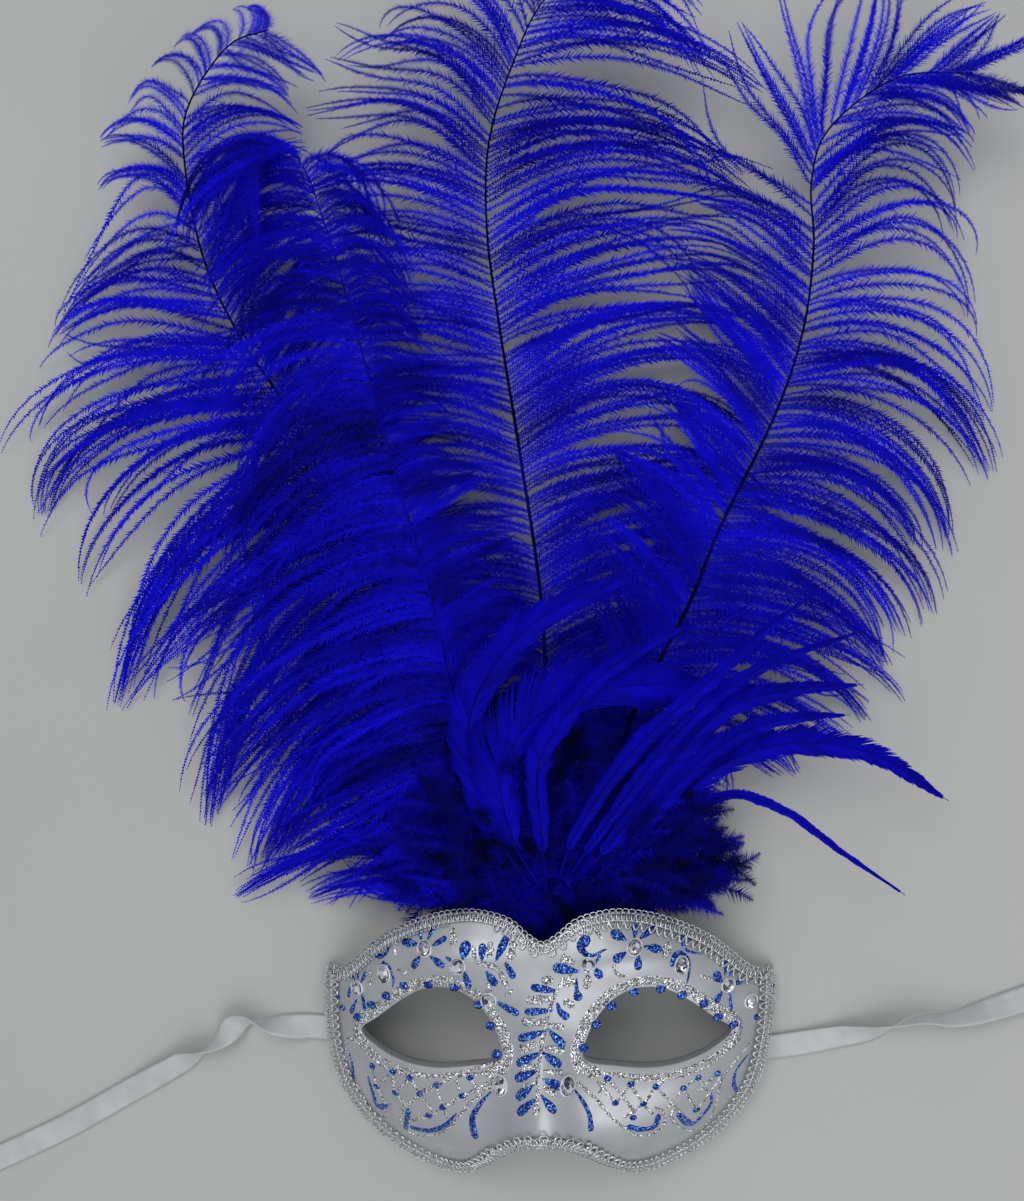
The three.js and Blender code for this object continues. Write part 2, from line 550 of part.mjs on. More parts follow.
// The way of one barb or lock: it leaves at an angle to the shaft and turns to hang at its end heading
function barbWay(curve, plume, at, side, steps) {
  const read = (column) => readTable(plume.barbs, 'at', column, at);
  const start = curve.getPointAt(at);
  const way = curve.getTangentAt(at);
  const reach = read(side > 0 ? 'left' : 'right');
  const from = Math.atan2(way.y, way.x) + side * THREE.MathUtils.degToRad(read('leave'));
  let to = THREE.MathUtils.degToRad(read(side > 0 ? 'hangLeft' : 'hangRight'));
  while (to - from > Math.PI) to -= 2 * Math.PI;
  while (from - to > Math.PI) to += 2 * Math.PI;
  const endZ = read(side > 0 ? 'leftZ' : 'rightZ');
  const points = [start.clone()];
  for (let i = 1; i <= steps; i += 1) {
    const t = (i - 0.5) / steps;
    const heading = THREE.MathUtils.lerp(from, to, t ** barbBend.turn);
    const last = points[i - 1];
    const z = THREE.MathUtils.lerp(start.z, endZ, (i / steps) ** barbBend.fall);
    const x = last.x + (Math.cos(heading) * reach) / steps;
    const y = last.y + (Math.sin(heading) * reach) / steps;
    points.push(new THREE.Vector3(x, y, z));
  }
  return points;
}

// A lock of barbs: a thin strip, broad in its middle and narrow at its end
function barbLock(curve, plume, at, side, breadth) {
  const points = barbWay(curve, plume, at, side, lock.steps);
  const rings = points.map((p, i) => {
    const t = i / lock.steps;
    const before = points[Math.max(i - 1, 0)];
    const after = points[Math.min(i + 1, lock.steps)];
    const heading = new THREE.Vector3().subVectors(after, before).setZ(0).normalize();
    const swell = Math.sin(Math.PI * Math.min(t * lockWidth.reach, 1));
    const wide = breadth * (lockWidth.root + lockWidth.middle * swell - lockWidth.tip * t);
    const centre = p.clone().setZ(Math.max(p.z, lock.lowest));
    return ringAt(centre, heading, wide, lock.thick * (1 - lockWidth.thin * t), 4);
  });
  return loft(rings);
}

function ostrichPlume(plume) {
  const curve = plumeCurve(plume);
  const spacing = (1 - plume.bare) / lock.perSide;
  const pieces = [taperedTube(curve, quill.radius, quill.tip, quill.sides, quill.steps)];
  for (let i = 0; i < lock.perSide; i += 1) {
    const at = plume.bare + (i + 0.5) * spacing;
    for (const side of [-1, 1]) {
      const reach = readTable(plume.barbs, 'at', side > 0 ? 'left' : 'right', at);
      const breadth = Math.min(spacing * curve.getLength() * lock.overlap, reach * lock.slim);
      pieces.push(barbLock(curve, plume, Math.min(at, lock.last), side, breadth));
    }
  }
  return aboveFloor(wasm.Manifold.union(pieces));
}

const hackleCurve = ({ way }) => curveThrough(way);

// A slim feather: bare quill, then a leaf-shaped vane
function hackleFeather(hackle) {
  const curve = hackleCurve(hackle);
  const { bare, steps } = hackleQuill;
  const rings = Array.from({ length: steps + 1 }, (_, i) => {
    const t = i / steps;
    const v = Math.max(0, (t - bare) / (1 - bare));
    const leaf = hackle.width * Math.sin(Math.PI * v ** vane.fore) ** vane.full;
    const wide = Math.max(2 * hackleQuill.radius * (1 - hackleQuill.taper * t), leaf);
    const thick = 2 * hackleQuill.radius * (1 - hackleQuill.thin * t);
    return ringAt(curve.getPointAt(t), curve.getTangentAt(t), wide, thick, 4);
  });
  return loft(rings);
}

// Fluff at the foot of the plumes, cut clear of every quill that runs through it and of the mask
function marabouTuft() {
  const head = new THREE.SphereGeometry(1, 10, 6).rotateX(Math.PI / 2)
    .scale(tuftHead.wide, tuftHead.deep, tuftHead.high).translate(tuftHead.x, tuftHead.y, tuftHead.z);
  const lobes = tuftLobes.map((row) => {
    const angle = THREE.MathUtils.degToRad(row.heading);
    const heading = new THREE.Vector3(Math.cos(angle), Math.sin(angle), 0);
    const rings = Array.from({ length: lobe.steps + 1 }, (_, i) => {
      const t = i / lobe.steps;
      const risen = THREE.MathUtils.lerp(tuftHead.z, row.startZ, Math.min(1, t * lobe.rise));
      const centre = new THREE.Vector3(tuftHead.x + heading.x * lobe.out, tuftHead.y, 0)
        .addScaledVector(heading, row.reach * t)
        .setZ(THREE.MathUtils.lerp(risen, row.endZ, t));
      const swell = Math.sin(Math.PI * (lobe.from + lobe.span * t));
      return ringAt(centre, heading, row.wide * swell, lobe.tall * swell, lobe.sides);
    });
    return loft(rings);
  });
  const holes = [
    ...plumes.map((plume) => [plumeCurve(plume), quill.radius + channel.clear, quill.steps, 4]),
    ...hackles.map((hackle) => [
      hackleCurve(hackle), hackleQuill.radius + channel.clear, hackleQuill.steps, 3,
    ]),
  ].map(([curve, radius, steps, made]) => taperedTube(curve, radius, radius, channel.sides, steps, made));
  const body = wasm.Manifold.union([solidOf(head), ...lobes]);
  const cut = wasm.Manifold.union([...holes, faceSlab(gap + braid.thick + gap, wall + gap, 1.6)]);
  return body.subtract(cut);
}

// The whole mask
const mask = new THREE.Group();
const add = (name, shape, finish) => {
  const geometry = shape.isBufferGeometry ? shape : geometryOf(shape);
  const mesh = new THREE.Mesh(geometry, new THREE.MeshStandardMaterial(finishes[finish]));
  mesh.name = name;
  mask.add(mesh);
  return mesh;
};

add('mask_shell', maskShell(), 'shell');
add('edge_braid', edgeBraid(), 'braid');
for (const row of stones) {
  placeOnFace(add(`stone_${row.name}`, cutStone(row), 'stone'), row);
}
for (const row of ribbons) {
  add(row.name, ribbonTie(row), 'ribbon');
}
for (const plume of plumes) {
  add(plume.name, ostrichPlume(plume), 'feather');
}
for (const hackle of hackles) {
  add(hackle.name, hackleFeather(hackle), 'feather');
}
add('marabou_tuft', marabouTuft(), 'feather');

// The origin goes under the middle of the mask and its feathers, without the ribbon ties
const extent = new THREE.Box3();
for (const mesh of mask.children) {
  if (!mesh.name.startsWith('ribbon')) {
    extent.expandByObject(mesh, true);
  }
}
const middle = extent.getCenter(new THREE.Vector3());
mask.position.set(-middle.x, -middle.y, 0);

export default mask;
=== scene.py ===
import bpy
import numpy as np
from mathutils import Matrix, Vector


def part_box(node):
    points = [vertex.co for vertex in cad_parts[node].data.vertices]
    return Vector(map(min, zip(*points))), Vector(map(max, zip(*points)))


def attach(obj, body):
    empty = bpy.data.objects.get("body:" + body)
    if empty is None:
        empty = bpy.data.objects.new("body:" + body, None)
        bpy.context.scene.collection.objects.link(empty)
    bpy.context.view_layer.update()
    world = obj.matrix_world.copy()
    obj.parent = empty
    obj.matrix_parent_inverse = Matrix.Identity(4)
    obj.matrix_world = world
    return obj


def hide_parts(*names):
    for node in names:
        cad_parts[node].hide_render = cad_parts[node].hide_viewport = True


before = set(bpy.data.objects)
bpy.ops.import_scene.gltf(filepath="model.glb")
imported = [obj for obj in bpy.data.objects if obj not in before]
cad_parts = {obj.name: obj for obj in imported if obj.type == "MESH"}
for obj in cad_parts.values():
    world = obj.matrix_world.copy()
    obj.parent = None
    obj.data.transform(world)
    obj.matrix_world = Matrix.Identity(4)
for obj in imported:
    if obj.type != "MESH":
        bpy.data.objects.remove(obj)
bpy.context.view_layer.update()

# Sizes are in millimetres from the nose line on the face, as in the part's source
mm = 0.001
shellLow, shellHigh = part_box("mask_shell")
faceBottom = 64.9
faceOrigin = np.array([(shellLow.x + shellHigh.x) / 2, shellLow.y + faceBottom * mm, 0.0])


def toScene(points):
    return np.asarray(points, float) * mm + faceOrigin


# Camera: it looks straight down, and its shift puts the point below it right of the picture's middle
photo = {"width": 1024, "height": 1201, "focal": 1217, "pointBelow": 640}
stand = {"x": 38.2, "y": 173, "height": 520}
sensor = 36


def addCamera():
    # The lens in millimetres is the focal length in pixels times the sensor over the picture's height
    camera = bpy.data.objects.new("camera", bpy.data.cameras.new("camera"))
    bpy.context.scene.collection.objects.link(camera)
    camera.data.sensor_width = sensor
    camera.data.lens = sensor * photo["focal"] / photo["height"]
    camera.data.shift_x = (photo["width"] / 2 - photo["pointBelow"]) / photo["height"]
    camera.location = toScene([stand["x"], stand["y"], stand["height"]])
    bpy.context.scene.camera = camera


addCamera()
print("camera")


# Shader maths: a node's output that takes +, which adds a Math node
class Wire:
    def __init__(self, look, socket):
        self.look = look
        self.socket = socket

    def __add__(self, other):
        return self.look.node("ShaderNodeMath", {"operation": "ADD"}, {0: self, 1: other})

    __radd__ = __add__


# A material being made: node() adds any node and returns one of its outputs
class Look:
    def __init__(self, name):
        self.material = bpy.data.materials.new(name)
        self.material.use_nodes = True
        self.tree = self.material.node_tree
        self.tree.nodes.clear()

    def node(self, kind, settings=None, values=None, out=0):
        made = self.tree.nodes.new(kind)
        for key, value in (settings or {}).items():
            setattr(made, key, value)
        for key, value in (values or {}).items():
            if isinstance(value, Wire):
                self.tree.links.new(value.socket, made.inputs[key])
            else:
                made.inputs[key].default_value = value
        return Wire(self, made.outputs[out])

    def place(self):
        return self.node("ShaderNodeTexCoord", out=3)

    def noise(self, scale, detail):
        return self.node("ShaderNodeTexNoise", None, {
            "Vector": self.place(), "Scale": scale, "Detail": detail})

    def spread(self, value, low, high, toLow=0.0, toHigh=1.0):
        return self.node("ShaderNodeMapRange", None, {
            "Value": value, "From Min": low, "From Max": high, "To Min": toLow, "To Max": toHigh})

    def mix(self, factor, first, second):
        return self.node("ShaderNodeMix", {"data_type": "RGBA"}, {0: factor, 6: first, 7: second}, 2)

    def vector(self, operation, values):
        return self.node("ShaderNodeVectorMath", {"operation": operation}, values)

    def bump(self, height, strength, distance):
        return self.node("ShaderNodeBump", None, {
            "Height": height, "Strength": strength, "Distance": distance})

    def flakes(self, scale, tilt):
        # Each cell of the pattern turns the surface normal its own way, as a grain of glitter lies
        cell = self.node("ShaderNodeTexVoronoi", None, {"Vector": self.place(), "Scale": scale}, 1)
        lean = self.vector("SUBTRACT", {0: cell, 1: (0.5, 0.5, 0.5)})
        lean = self.vector("SCALE", {0: lean, "Scale": tilt})
        flat = self.node("ShaderNodeNewGeometry", out=1)
        return cell, self.vector("NORMALIZE", {0: self.vector("ADD", {0: flat, 1: lean})})

    def shade(self, values):
        shader = self.node("ShaderNodeBsdfPrincipled", None, values)
        output = self.tree.nodes.new("ShaderNodeOutputMaterial")
        self.tree.links.new(shader.socket, output.inputs["Surface"])
        return self.material


def colour(red, green, blue):
    return (red, green, blue, 1.0)


def featherLook(name, dark, bright, sheen):
    look = Look(name)
    tone = look.node("ShaderNodeAttribute", {"attribute_name": "tone"}, None, 2)
    patch = look.spread(look.noise(45.0, 2.0), 0.3, 0.7, -0.16, 0.16)
    base = look.mix(look.spread(tone + patch, 0.0, 1.0), dark, bright)
    return look.shade({
        "Base Color": base, "Roughness": 0.65, "Specular IOR Level": 0.04,
        "Sheen Weight": sheen, "Sheen Roughness": 0.4, "Sheen Tint": colour(0.08, 0.08, 1.0)})


def pearlLook():
    look = Look("pearl_shell")
    cloud = look.spread(look.noise(55.0, 3.0), 0.3, 0.7)
    base = look.mix(cloud, colour(0.42, 0.435, 0.455), colour(0.53, 0.545, 0.565))
    grain = look.noise(2600.0, 2.0)
    return look.shade({
        "Base Color": base, "Metallic": 0.6, "Roughness": look.spread(cloud, 0.0, 1.0, 0.46, 0.38),
        "Coat Weight": 0.3, "Coat Roughness": 0.25, "Normal": look.bump(grain, 0.06, 0.0002)})


def glitterLook(name, deep, pale, glint, scale, metal, tilt, rare):
    look = Look(name)
    cell, normal = look.flakes(scale, tilt)
    pick = look.node("ShaderNodeSeparateColor", None, {"Color": cell}, 2)
    # A flake's colour runs from deep to pale with its cell, standing for flakes that catch less or more
    # light: painted shade and light. The brightest cells take the glint colour, a painted glint
    base = look.mix(look.spread(pick, 0.15, 0.85), deep, pale)
    base = look.mix(look.spread(pick, rare, rare + 0.02), base, glint)
    return look.shade({
        "Base Color": base, "Metallic": metal, "Roughness": look.spread(pick, 0.0, 1.0, 0.45, 0.2),
        "Normal": normal})


def threadLook():
    look = Look("silver_thread")
    twist = look.noise(1800.0, 2.0)
    # The noise named twist swings the colour from dark grey to near white: painted shade and highlight
    # along the thread. The same noise also bumps its surface
    base = look.mix(look.spread(twist, 0.35, 0.65), colour(0.3, 0.31, 0.33), colour(0.95, 0.96, 0.97))
    return look.shade({
        "Base Color": base, "Metallic": 0.8, "Roughness": look.spread(twist, 0.3, 0.7, 0.35, 0.14),
        "Normal": look.bump(twist, 0.35, 0.0003)})


def stoneLook():
    look = Look("cut_stone")
    cell, normal = look.flakes(620.0, 1.1)
    # Each cell also paints its facet from near black to near white: painted reflections of dark and bright
    # surroundings, beside the real glints of its turned normal
    pick = look.node("ShaderNodeSeparateColor", None, {"Color": cell}, 1)
    base = look.mix(look.spread(pick, 0.2, 0.7), colour(0.06, 0.065, 0.08), colour(0.95, 0.96, 1.0))
    return look.shade({
        "Base Color": base, "Metallic": 0.9, "Roughness": 0.08, "Normal": normal,
        "Coat Weight": 1.0, "Coat Roughness": 0.03})


def glueLook():
    look = Look("clear_glue")
    cloud = look.spread(look.noise(700.0, 2.0), 0.35, 0.65)
    base = look.mix(cloud, colour(0.62, 0.65, 0.68), colour(0.82, 0.84, 0.87))
    return look.shade({"Base Color": base, "Metallic": 0.15, "Roughness": 0.12, "Coat Weight": 0.6,
                       "Coat Roughness": 0.05})


def satinLook():
    look = Look("white_satin")
    warp = look.node("ShaderNodeTexWave", {"bands_direction": "Y"}, {
        "Vector": look.node("ShaderNodeUVMap"), "Scale": 11.0, "Distortion": 1.5, "Detail": 2.0,
        "Detail Scale": 3.0}, 1)
    cloud = look.noise(90.0, 2.0)
    base = look.mix(look.spread(cloud, 0.3, 0.7), colour(0.46, 0.465, 0.47), colour(0.56, 0.565, 0.57))
    return look.shade({
        "Base Color": base, "Roughness": look.spread(warp, 0.0, 1.0, 0.42, 0.3), "Specular IOR Level": 0.6,
        "Sheen Weight": 0.4, "Sheen Roughness": 0.3, "Normal": look.bump(warp, 0.12, 0.0002)})


def floorLook():
    look = Look("pale_floor")
    cloud = look.spread(look.noise(5.0, 3.0), 0.3, 0.7)
    base = look.mix(cloud, colour(0.475, 0.475, 0.465), colour(0.5, 0.5, 0.49))
    return look.shade({"Base Color": base, "Roughness": 0.65, "Specular IOR Level": 0.2})


looks = {
    "plume": featherLook("plume_feather", colour(0.0003, 0.0002, 0.01), colour(0.005, 0.004, 0.74), 0.04),
    "hackle": featherLook("hackle_feather", colour(0.0004, 0.0003, 0.03), colour(0.004, 0.003, 0.62), 0.06),
    "marabou": featherLook("marabou_feather", colour(0.0003, 0.0002, 0.012), colour(0.004, 0.003, 0.52),
                           0.03),
    "shell": pearlLook(),
    # Glitter colours: the deep and pale flake colours are painted shade and light, and the last colour is a
    # painted glint
    "blue": glitterLook("blue_glitter", colour(0.001, 0.008, 0.1), colour(0.008, 0.075, 0.6),
                        colour(0.2, 0.45, 1.0), 2300.0, 0.65, 1.1, 0.81),
    "silver": glitterLook("silver_glitter", colour(0.09, 0.095, 0.105), colour(0.72, 0.73, 0.75),
                          colour(1.0, 1.0, 1.0), 2700.0, 0.7, 1.2, 0.7),
    "thread": threadLook(),
    "stone": stoneLook(),
    "glue": glueLook(),
    "satin": satinLook(),
    "floor": floorLook(),
}
print("materials")


# Mesh helpers
def unit(vectors):
    # Vectors over their lengths
    return vectors / np.maximum(np.linalg.norm(vectors, axis=-1, keepdims=True), 1e-9)


# A mesh of triangles in its place, with one look, and a tone for each point or a UV map where given
def meshPiece(name, points, triangles, look, tone=None, smooth=False, uv=None):
    points = toScene(points).astype(np.float32)
    triangles = np.asarray(triangles, np.int32)
    mesh = bpy.data.meshes.new(name)
    mesh.vertices.add(len(points))
    mesh.vertices.foreach_set("co", points.ravel())
    mesh.loops.add(triangles.size)
    mesh.loops.foreach_set("vertex_index", triangles.ravel())
    mesh.polygons.add(len(triangles))
    mesh.polygons.foreach_set("loop_start", np.arange(0, triangles.size, 3, dtype=np.int32))
    mesh.polygons.foreach_set("use_smooth", np.full(len(triangles), smooth))
    if tone is not None:
        mesh.attributes.new("tone", "FLOAT", "POINT").data.foreach_set("value", tone.astype(np.float32))
    if uv is not None:
        layer = mesh.uv_layers.new(name="UVMap")
        layer.data.foreach_set("uv", uv[triangles.ravel()].astype(np.float32).ravel())
    mesh.update(calc_edges=True)
    mesh.materials.append(looks[look])
    piece = bpy.data.objects.new(name, mesh)
    bpy.context.scene.collection.objects.link(piece)
    print(name, len(triangles))
    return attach(piece, "root")


def joined(parts):
    # Parts are (points, triangles, tone); their vertex numbers are moved on past those before them
    offsets = np.cumsum([0] + [len(part[0]) for part in parts[:-1]])
    points = np.vstack([part[0] for part in parts])
    triangles = np.vstack([part[1] + offset for part, offset in zip(parts, offsets)])
    tone = np.concatenate([np.broadcast_to(part[2], len(part[0])) for part in parts])
    return points, triangles, tone


def sweep(rings, closed=False, tone=0.5):
    # Skin through rings of points (count, sides, 3): two triangles a side, and a fan at each open end
    count, sides, _ = rings.shape
    spans = np.arange(count if closed else count - 1)
    here = spans[:, None] * sides
    after = ((spans + 1) % count)[:, None] * sides
    j = np.arange(sides)
    k = (j + 1) % sides
    triangles = np.stack([here + j, here + k, after + k, here + j, after + k, after + j], -1).reshape(-1, 3)
    points = rings.reshape(-1, 3)
    if not closed:
        centre = len(points)
        points = np.vstack([points, rings[0].mean(0), rings[-1].mean(0)])
        last = (count - 1) * sides
        startFan = np.stack([np.full(sides, centre), k, j], -1)
        endFan = np.stack([np.full(sides, centre + 1), last + j, last + k], -1)
        triangles = np.vstack([triangles, startFan, endFan])
    return points, triangles, tone


def ringsAlong(path, wide, tall, sides, up=(0, 0, 1), closed=False):
    # An oval ring about every point: wide across the way, tall towards up
    if closed:
        way = unit(np.roll(path, -1, 0) - np.roll(path, 1, 0))
    else:
        way = unit(np.gradient(path, axis=0))
    across = unit(np.cross(np.broadcast_to(up, path.shape), way))
    lift = np.cross(way, across)
    angle = 2 * np.pi * np.arange(sides) / sides
    wide = np.broadcast_to(wide, len(path))[:, None, None] / 2
    tall = np.broadcast_to(tall, len(path))[:, None, None] / 2
    return (path[:, None] + across[:, None] * np.cos(angle)[None, :, None] * wide
            + lift[:, None] * np.sin(angle)[None, :, None] * tall)


def curveThrough(points, closed=False, dense=40):
    # A smooth curve through the points: the slope at a point is half the step between its neighbours
    points = np.asarray(points, float)
    if closed:
        ring = np.vstack([points[-1:], points, points[:2]])
    else:
        ring = np.vstack([2 * points[:1] - points[1:2], points, 2 * points[-1:] - points[-2:-1]])
    t = np.linspace(0, 1, dense, endpoint=False)[None, :, None]
    a, b, c, d = (ring[i:len(ring) - 3 + i][:, None] for i in range(4))
    line = 0.5 * (2 * b + (c - a) * t + (2 * a - 5 * b + 4 * c - d) * t**2 + (3 * b - a - 3 * c + d) * t**3)
    return np.vstack([line.reshape(-1, points.shape[1]), points[:1] if closed else points[-1:]])


def lengthsOf(line):
    # How far along the line each point lies
    return np.concatenate([[0], np.cumsum(np.linalg.norm(np.diff(line, axis=0), axis=1))])


def along(line, at):
    # Points at the given shares of the line's length
    lengths = lengthsOf(line)
    return np.stack([np.interp(np.asarray(at) * lengths[-1], lengths, axis) for axis in line.T], -1)


def headingAt(line, at, reach=0.004):
    # The way the line goes: from a little before a place to a little after it
    at = np.clip(at, reach, 1 - reach)
    return unit(along(line, at + reach) - along(line, at - reach))


def readTable(rows, key, column, at):
    # Smooth cubic through a table's rows, its slope at a row taken between the row's neighbours
    keys = np.array([row[key] for row in rows], float)
    values = np.array([row[column] for row in rows], float)
    slopes = np.concatenate([
        [(values[1] - values[0]) / (keys[1] - keys[0])],
        (values[2:] - values[:-2]) / (keys[2:] - keys[:-2]),
        [(values[-1] - values[-2]) / (keys[-1] - keys[-2])]])
    at = np.clip(at, keys[0], keys[-1])
    i = np.clip(np.searchsorted(keys, at, side="right") - 1, 0, len(keys) - 2)
    span = keys[i + 1] - keys[i]
    t = (at - keys[i]) / span
    return ((2 * t**3 - 3 * t**2 + 1) * values[i] + (t**3 - 2 * t**2 + t) * span * slopes[i]
            + (3 * t**2 - 2 * t**3) * values[i + 1] + (t**3 - t**2) * span * slopes[i + 1])


def table(columns, *rows):
    names = columns.split()
    return [dict(zip(names, row)) for row in rows]


def drift(rng, count, spacing):
    # Random values from -1 to 1 that change gradually along a row, a new one every few places
    knots = rng.uniform(-1, 1, int(count / spacing) + 3)
    return np.interp(np.arange(count) / spacing, np.arange(len(knots)), knots)


# The face
wall = 1.6
bowl = {"depth": 50, "halfWidth": 98, "middle": -2, "above": 96, "below": 75, "power": 3, "sink": 3}
nose = {"top": 16, "end": -35, "height": 12, "narrow": 8, "wide": 13}
brow = {"height": 3, "x": 36, "y": 33, "wide": 27, "tall": 9}
socket = {"depth": 5, "x": 45, "y": 4, "wide": 36, "tall": 21}
cheek = {"height": 2.5, "x": 46, "y": -38, "wide": 25, "tall": 13}
topEdge = table("x y", (0, 38.6), (6, 41.5), (12, 46), (18, 48.2), (28, 49.4), (38, 48.2), (48, 45.6),
                (58, 41.5), (67, 36), (75, 29), (82, 22), (88, 17.8), (94.6, 17))
bottomEdge = table("x y", (0, -35), (6, -37), (11, -40.5), (18, -47.5), (24, -54.5), (32, -62.5), (43, -65),
                   (55, -61), (64.5, -56), (73, -49.5), (81, -41), (87, -32), (90.5, -21.5), (93, -10),
                   (94.6, 3))
eyeEdge = [(16.8, -6.5), (17.6, 1.5), (22, 9.8), (29, 16.8), (38, 19.8), (48, 18.2), (58, 12.2), (68, 4),
           (75.8, -2.8), (68, -7.8), (57, -10.9), (44, -11.7), (30, -9.8)]


def faceHeight(x, y):
    # A bowl that falls off from its middle, plus a ridge for the nose that rises and widens downwards, plus
    # a rounded hill at each brow and cheek, less a flat-bottomed dip round each eye
    up = y - bowl["middle"]
    out = np.hypot(x / bowl["halfWidth"], up / np.where(up > 0, bowl["above"], bowl["below"]))
    side = np.abs(x)
    t = np.clip((nose["top"] - y) / (nose["top"] - nose["end"]), 0, 1)
    down = t * t * (3 - 2 * t)
    noseWidth = nose["narrow"] + (nose["wide"] - nose["narrow"]) * down
    sunk = ((side - socket["x"]) / socket["wide"])**2 + ((y - socket["y"]) / socket["tall"])**2
    hill = lambda form: form["height"] * np.exp(
        -((side - form["x"]) / form["wide"])**2 - ((y - form["y"]) / form["tall"])**2)
    return (bowl["depth"] * (1 - out**bowl["power"]) - bowl["sink"]
            + nose["height"] * down * np.exp(-(x / noseWidth)**2)
            + hill(brow) + hill(cheek) - socket["depth"] * np.exp(-sunk * sunk))


def faceNormal(x, y, h=0.5):
    # Square to the face: from the fall of its height over a small step each way
    slope = np.stack([faceHeight(x - h, y) - faceHeight(x + h, y),
                      faceHeight(x, y - h) - faceHeight(x, y + h), np.full(np.shape(x), 2 * h)], -1)
    return unit(slope)


def onFace(flat, above=0.0):
    # Points on the face over flat places, moved out square to it
    x, y = flat[..., 0], flat[..., 1]
    above = np.broadcast_to(above, x.shape)[..., None]
    return np.stack([x, y, faceHeight(x, y)], -1) + faceNormal(x, y) * above


# Ribbon ties: the way over the surface, and the roll about it in degrees
satin = {"width": 10, "thick": 0.5, "solid": 1, "clear": 1.1, "lift": 0.1, "across": 8, "cup": 0.25}
ribbons = {
    "ribbon_left": {
        "glued": [(-81.5, -8.6), (-84, -8.8), (-86.6, -9)],
        "route": table("x y z roll", (-88.6, -9.2, 0.7, 0), (-102, -8.6, 0.7, 6), (-117, -6.6, 3.4, 62),
                       (-130, -5.6, 4.6, 140), (-142, -14.4, 4.6, 248), (-156, -23.2, 2.4, 336),
                       (-179, -36, 0.8, 358), (-207, -51.6, 0.7, 360), (-240, -67, 0.7, 360)),
    },
    "ribbon_right": {
        "glued": [(76.5, -18), (80, -18), (83.4, -18)],
        "route": table("x y z roll", (86.4, -18, 0.7, 0), (98, -17, 0.7, 0), (112, -14.8, 0.8, 4),
                       (124, -12.6, 1.6, 14), (136, -10.6, 3.4, 38), (147, -7, 5, 72), (158, -4, 5.4, 92),
                       (171, -4, 5, 108), (186, -0.6, 4, 134), (209, 6, 2, 160)),
    },
}


def ribbonPiece(name, glued, route):
    # A thin, slightly cupped section carried along the way and rolled about it, held off the floor
    hidden = onFace(np.array(glued, float), -(wall + satin["clear"] + satin["solid"] / 2))
    free = np.array([[row["x"], row["y"], row["z"]] for row in route])
    rolls = np.array([0.0] * len(glued) + [row["roll"] for row in route])
    dense = 14
    path = curveThrough(np.vstack([hidden, free]), dense=dense)
    roll = np.radians(np.interp(np.arange(len(path)) / dense, np.arange(len(rolls)), rolls))[:, None]
    way = unit(np.gradient(path, axis=0))
    outward = np.sign(free[0, 0])
    flat = unit(np.stack([-way[:, 1], way[:, 0], 0 * way[:, 0]], -1)) * outward
    flat = (flat * np.cos(roll) + np.cross(way, flat) * np.sin(roll)
            + way * (way * flat).sum(1, keepdims=True) * (1 - np.cos(roll)))
    half = satin["width"] / 2
    lean = np.abs(flat[:, 2])
    rest = half * lean + satin["solid"] / 2 * np.sqrt(1 - np.minimum(lean, 1)**2) + satin["lift"]
    path[:, 2] = np.maximum(path[:, 2], rest)
    up = unit(np.cross(way, flat))
    spread = np.linspace(-1, 1, satin["across"] + 1)
    cup = satin["cup"] * (spread**2 - 0.5)
    ring = lambda side: (path[:, None] + flat[:, None] * (spread * half)[None, :, None]
                         + up[:, None] * (cup + side * satin["thick"] / 2)[None, :, None])
    rings = np.concatenate([ring(-1), ring(1)[:, ::-1]], 1)
    points, triangles, _ = sweep(rings)
    lengths = lengthsOf(path) / satin["width"]
    acrossUv = np.concatenate([spread, spread[::-1]])
    uv = np.stack(np.broadcast_arrays(lengths[:, None], acrossUv[None, :]), -1).reshape(-1, 2)
    uv = np.vstack([uv, uv[0], uv[-1]])
    piece = meshPiece(f"{name}_satin", points, triangles, "satin", smooth=True, uv=uv)
    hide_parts(name)


for name, row in ribbons.items():
    ribbonPiece(name, row["glued"], row["route"])
print("ribbons")


# The moulded shell: rays from the middle of an eye cross the face from the eye's edge to the mask's
shellMesh = {"rays": 236, "front": 22, "back": 9, "middle": (45, 3), "side": 94.4, "round": 0.6, "lip": 1.4,
             "lowest": 0.05, "edgePoints": 500, "sidePoints": 200}
# The lip that turns in round an eye: distance out from its edge, and drop below the face
lipRows = [(0.3, 0.1), (0.08, 0.34), (0, 0.8), (0, 2.4), (0, 4.2), (0, 6), (0.7, 6.1), (1.4, 6), (1.4, 2.2)]


def halfEdge():
    # The right half's rim in order: top edge, temple, bottom edge back, and the middle line up
    x = np.linspace(0, shellMesh["side"], shellMesh["edgePoints"])
    top = np.stack([x, readTable(topEdge, "x", "y", x)], -1)
    bottom = np.stack([x, readTable(bottomEdge, "x", "y", x)], -1)[::-1]
    share = np.linspace(0, 1, shellMesh["sidePoints"])[:, None]
    temple = top[-1] + (bottom[0] - top[-1]) * share
    middle = bottom[-1] + (top[0] - bottom[-1]) * share
    return np.vstack([top, temple, bottom, middle])


def onRays(line, angles):
    # Where rays at the given angles from the eye's middle cross a line round it
    way = line - np.array(shellMesh["middle"], float)
    turn = np.arctan2(way[:, 1], way[:, 0])
    return np.stack([np.interp(angles, turn, axis, period=2 * np.pi) for axis in line.T], -1)


